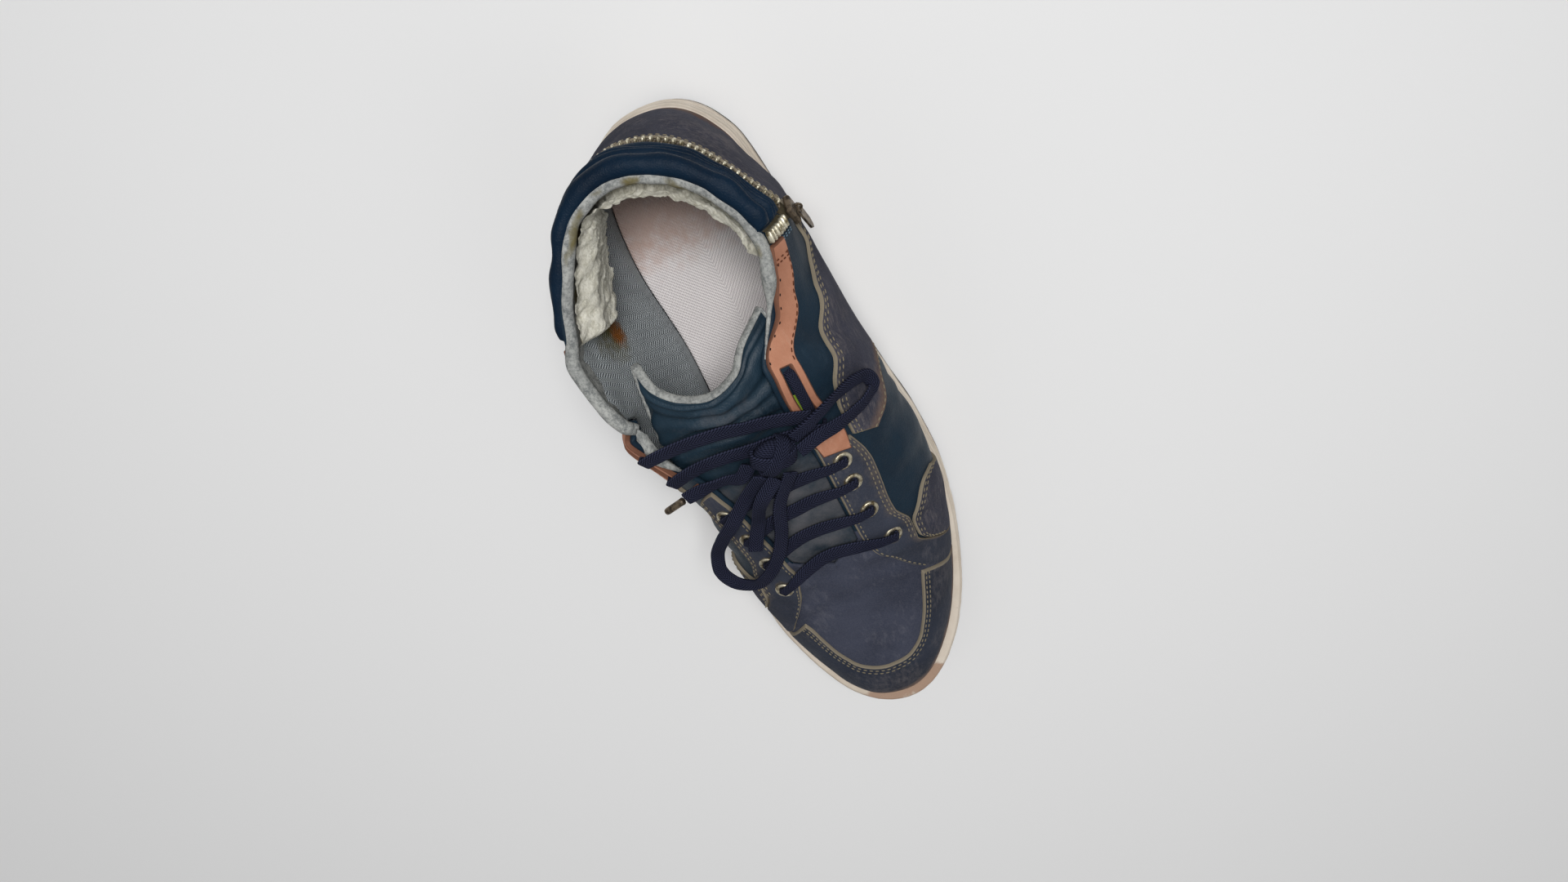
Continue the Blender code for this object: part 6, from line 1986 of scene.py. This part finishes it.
# Bow routes as in the solids: metres from the knot, ahead, left and up.
LOOP_OUTER = ((-0.003, 0.0095, 0.0002), (-0.0052, 0.0161, 0.0009), (-0.0079, 0.0248, -0.0014),
    (-0.0094, 0.0328, -0.0082), (-0.0093, 0.0392, -0.0142), (-0.0069, 0.0432, -0.0202),
    (-0.0027, 0.0439, -0.0222), (0.0005, 0.0397, -0.0182), (0.0017, 0.0336, -0.0132),
    (0.0016, 0.0265, -0.0065), (0.0014, 0.0183, -0.0024), (0.003, 0.0093, -0.0002))
LOOP_INNER = ((0.0056, -0.008, 0.0002), (0.0143, -0.0195, -0.0079), (0.0229, -0.0299, -0.0116),
    (0.03, -0.0385, -0.019), (0.0387, -0.0459, -0.0267), (0.0477, -0.0486, -0.0302),
    (0.0552, -0.0455, -0.0317), (0.0582, -0.0388, -0.0297), (0.0545, -0.0302, -0.0239),
    (0.0475, -0.0224, -0.0194), (0.0363, -0.0149, -0.0142), (0.0227, -0.0088, -0.0082),
    (0.0092, 0.0026, -0.0002))
END_SHORT = ((0.0088, -0.0034, -0.0002), (0.015, -0.012, -0.0022), (0.0287, -0.0216, -0.0134),
    (0.0389, -0.028, -0.0168))
END_LONG = ((-0.0004, -0.0102, -0.0002), (0.0035, -0.0154, -0.002), (0.0027, -0.0222, -0.0046),
    (0.0024, -0.0288, -0.0052), (0.0034, -0.0398, -0.0067))
LACE_TIP = ((0.00358, -0.04048, -0.00695), (0.0064, -0.0512, -0.0108))


def smooth_path(points: Array, count: int) -> Array:
    """Smooth curve through chosen points, with even steps.

    Args:
        points: points, in metres.
        count: number of points.

    Returns:
        The points.
    """
    run = np.r_[0, np.cumsum(np.linalg.norm(np.diff(points, axis=0), axis=1))]
    curve = hermite(run, points, np.gradient(points, run, axis=0), np.linspace(0, run[-1], count * 8))
    length = np.r_[0, np.cumsum(np.linalg.norm(np.diff(curve, axis=0), axis=1))]
    even = np.linspace(0, length[-1], count)
    return np.stack([np.interp(even, length, curve[:, k]) for k in range(3)], -1)


@dataclass
class Studio:
    """Floor, lights (place, watts, width) and the camera at the photograph's angle."""

    lens: float = 24.136
    sky: float = 0.205
    lamps: tuple = (((-0.21, 0.18, 1.15), 10.2, 0.35), ((0.9, 0.5, 1.2), 2.0, 1.0),
        ((0.1, -1.1, 1.0), 1.2, 1.2))

    def camera(self) -> None:
        """Place the camera as the photograph was taken."""
        data = bpy.data.cameras.new("camera")
        data.lens = self.lens
        data.sensor_width = 36.0
        data.clip_start = 0.01
        camera = bpy.data.objects.new("camera", data)
        bpy.context.scene.collection.objects.link(camera)
        spot = np.array([-23.013, 68.822, 479.212])
        aim = np.array([112.862, -4.891, 40.0])
        ahead = unit(aim - spot)
        right = unit(np.cross(ahead, (-1.0, 0.0, 0.0)))
        top = np.cross(right, ahead)
        roll = -0.482
        turned = math.cos(roll) * right + math.sin(roll) * top
        raised = -math.sin(roll) * right + math.cos(roll) * top
        turning = Matrix([turned.tolist(), raised.tolist(), (-ahead).tolist()]).transposed()
        camera.matrix_world = Matrix.Translation(Vector(spot / 1000)) @ turning.to_4x4()
        bpy.context.scene.camera = camera

    def floor(self) -> None:
        """Wide pale floor."""
        data = bpy.data.meshes.new("floor")
        reach = 6.0
        data.from_pydata([(-reach, -reach, 0), (reach, -reach, 0), (reach, reach, 0), (-reach, reach, 0)],
            [], [(0, 1, 2, 3)])
        mat, _, shader = new_material("pale_floor")
        shader.inputs["Base Color"].default_value = (*tint(232, 232, 232), 1.0)
        shader.inputs["Roughness"].default_value = 0.9
        data.materials.append(mat)
        obj = bpy.data.objects.new("floor", data)
        bpy.context.scene.collection.objects.link(obj)

    def lights(self) -> None:
        """Soft sky, a wide lamp beside the lens for the inside, and two low side lamps."""
        bpy.context.scene.view_settings.view_transform = "Standard"
        world = bpy.data.worlds.new("studio")
        bpy.context.scene.world = world
        world.use_nodes = True
        world.node_tree.nodes["Background"].inputs["Color"].default_value = (1, 1, 1, 1)
        world.node_tree.nodes["Background"].inputs["Strength"].default_value = self.sky
        for place, power, size in self.lamps:
            data = bpy.data.lights.new("lamp", "AREA")
            data.energy = power
            data.size = size
            lamp = bpy.data.objects.new("lamp", data)
            bpy.context.scene.collection.objects.link(lamp)
            lamp.location = place
            aim = Vector((0.1, 0.0, 0.03)) - Vector(place)
            lamp.rotation_euler = aim.to_track_quat("-Z", "Y").to_euler()


def offset_line(table: tuple, column: int, turns: tuple[float, float] | None = None) -> tuple:
    """Line of a panel's low (1) or high (2) edge, cut to a span of turns.

    Args:
        table: rows of the panel.
        column: 1 for its low edge, 2 for its high edge.
        turns: span to keep.

    Returns:
        Turns with climbs.
    """
    rows = [(row[0], row[column]) for row in table]
    if turns:
        rows = [row for row in rows if turns[0] <= row[0] <= turns[1]]
    return tuple(rows)


def both_sides(name: str, node: str, finish: str, tables: tuple, **more: object) -> list[Panel]:
    """The same overlay on the outer and the inner side."""
    places = zip(Side, ("outer", "inner"), ("lateral", "medial"), tables)
    return [Panel(f"{name}_{word}", table, finish, side, (f"{node}_{place}",), slot=finish,
        **more) for side, word, place, table in places]


def panels() -> tuple[Panel, ...]:
    """Every leather overlay.

    Returns:
        The panels.
    """
    slots = (0.452, 0.508, 0.34, 0.68), (0.506, 0.527, -0.1, 1.1)
    return (
        Panel("counter_panel", COUNTER, "navy_nubuck", Side.OUTER, ("heel_counter",),
              columns=200, dirt=0.8, stain_reach=0.011),
        *both_sides("strap_panel", "side_strap", "navy_nubuck", (STRAP_OUTER, STRAP_INNER),
                    dirt=0.7),
        *both_sides("patch_panel", "side_patch", "navy_nubuck", (PATCH_OUTER, PATCH_INNER),
                    dirt=0.7),
        Panel("guard_panel", TOE_GUARD, "guard_leather", Side.OUTER, ("toe_guard",),
              columns=240, dirt=1.0),
        *both_sides("facing", "eyestay", "navy_facing", (EYESTAY_OUTER, EYESTAY_INNER),
                    columns=150, dirt=0.5),
        *both_sides("tan", "tan_trim", "tan_leather", (TAN_OUTER, TAN_INNER), columns=180,
                    thickness=0.0017, foot=False, slits=slots))


def stitch_runs() -> tuple[StitchRun, ...]:
    """Every stitched seam.

    Returns:
        The rows.
    """
    runs = []
    for step in (0.0019, 0.0038):
        runs += [
            StitchRun(offset_line(TOE_GUARD, 2), down=step),
            StitchRun(((0.2935 + step * 1.6, 0.69), (0.2935 + step * 1.6, 0.845)),
                      "blue_thread", lift=0.0003)]
        for side, strap, eyestay, patch in ((Side.OUTER, STRAP_OUTER, EYESTAY_OUTER, PATCH_OUTER),
                (Side.INNER, STRAP_INNER, EYESTAY_INNER, PATCH_INNER)):
            runs += [StitchRun(offset_line(strap, 2), down=step, side=side),
                     StitchRun(offset_line(eyestay, 1, (0.538, 0.652)), down=-step, side=side),
                     StitchRun(offset_line(patch, 2, (0.586, 0.661)), down=step, side=side)]
    for side, strap, eyestay, span in ((Side.OUTER, STRAP_OUTER, EYESTAY_OUTER, (0.552, 0.69)),
            (Side.INNER, STRAP_INNER, EYESTAY_INNER, (0.546, 0.694))):
        runs += [StitchRun(offset_line(strap, 1, (0.456, 0.538)), down=-0.0019, side=side),
                 StitchRun(offset_line(eyestay, 2, span), down=0.0019, side=side)]
    runs += [
        StitchRun(offset_line(COUNTER, 2), down=0.0016),
        StitchRun(offset_line(TAN_OUTER, 2, (0.308, 0.45)), "dark_thread", down=0.0014,
                  pitch=0.005, length=0.0012, lift=0.0018),
        StitchRun(offset_line(TAN_INNER, 2, (0.29, 0.42)), "brown_thread", down=0.0016,
                  side=Side.INNER, pitch=0.004, lift=0.0018),
        StitchRun(offset_line(TAN_OUTER, 1, (0.308, 0.452)), "brown_thread", down=-0.0015,
                  lift=0.0018)]
    runs += [StitchRun(((at, low), (at, 0.985)), "brown_thread", lift=0.0018) for at,
        low in ((0.312, 0.85), (0.3175, 0.845))]
    return tuple(runs)


def main() -> None:
    """Build every piece in order."""
    logging.basicConfig(level=logging.INFO, format="%(message)s")
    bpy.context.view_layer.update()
    studio = Studio()
    studio.camera()
    studio.floor()
    studio.lights()
    last = Last(LastSize())
    wardrobe = Wardrobe(Effects())
    bench = Bench(wardrobe)
    laces = Laces(last, bench)
    laces.bow()
    laces.crossings()
    laces.strands()
    laces.slot()
    shell = Shell(last, bench)
    shell.upper()
    shell.lining()
    shell.insole()
    shell.binding()
    shell.fleece()
    Tongue(last, bench).build()
    eyelets = Eyelets(last, bench)
    eyelets.build()
    rust = {side: eyelets.centres(side) for side in Side}
    for panel in panels():
        rubbed = {"facing": rust[panel.side], "counter": np.array(HEEL_RUBS),
            "guard": last.plain(np.linspace(0.93, 1.04, 9), np.full(9, 0.0))}
        panel.build(last, bench, rubbed.get(panel.name.split("_")[0]))
    Cuff(last, bench).build()
    fastener = Zip(last, bench)
    fastener.tape()
    fastener.teeth()
    sole = Sole(last, bench)
    sole.wall()
    sole.tread()
    stitching = Stitching(last, bench)
    for run in stitch_runs():
        stitching.add(run)
    stitching.build()
    for node in ("zip_slider", "zip_bridge", "zip_pull"):
        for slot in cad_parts[node].material_slots:
            slot.material = wardrobe.finish["zip_slider"]


if __name__ == "__main__":
    main()
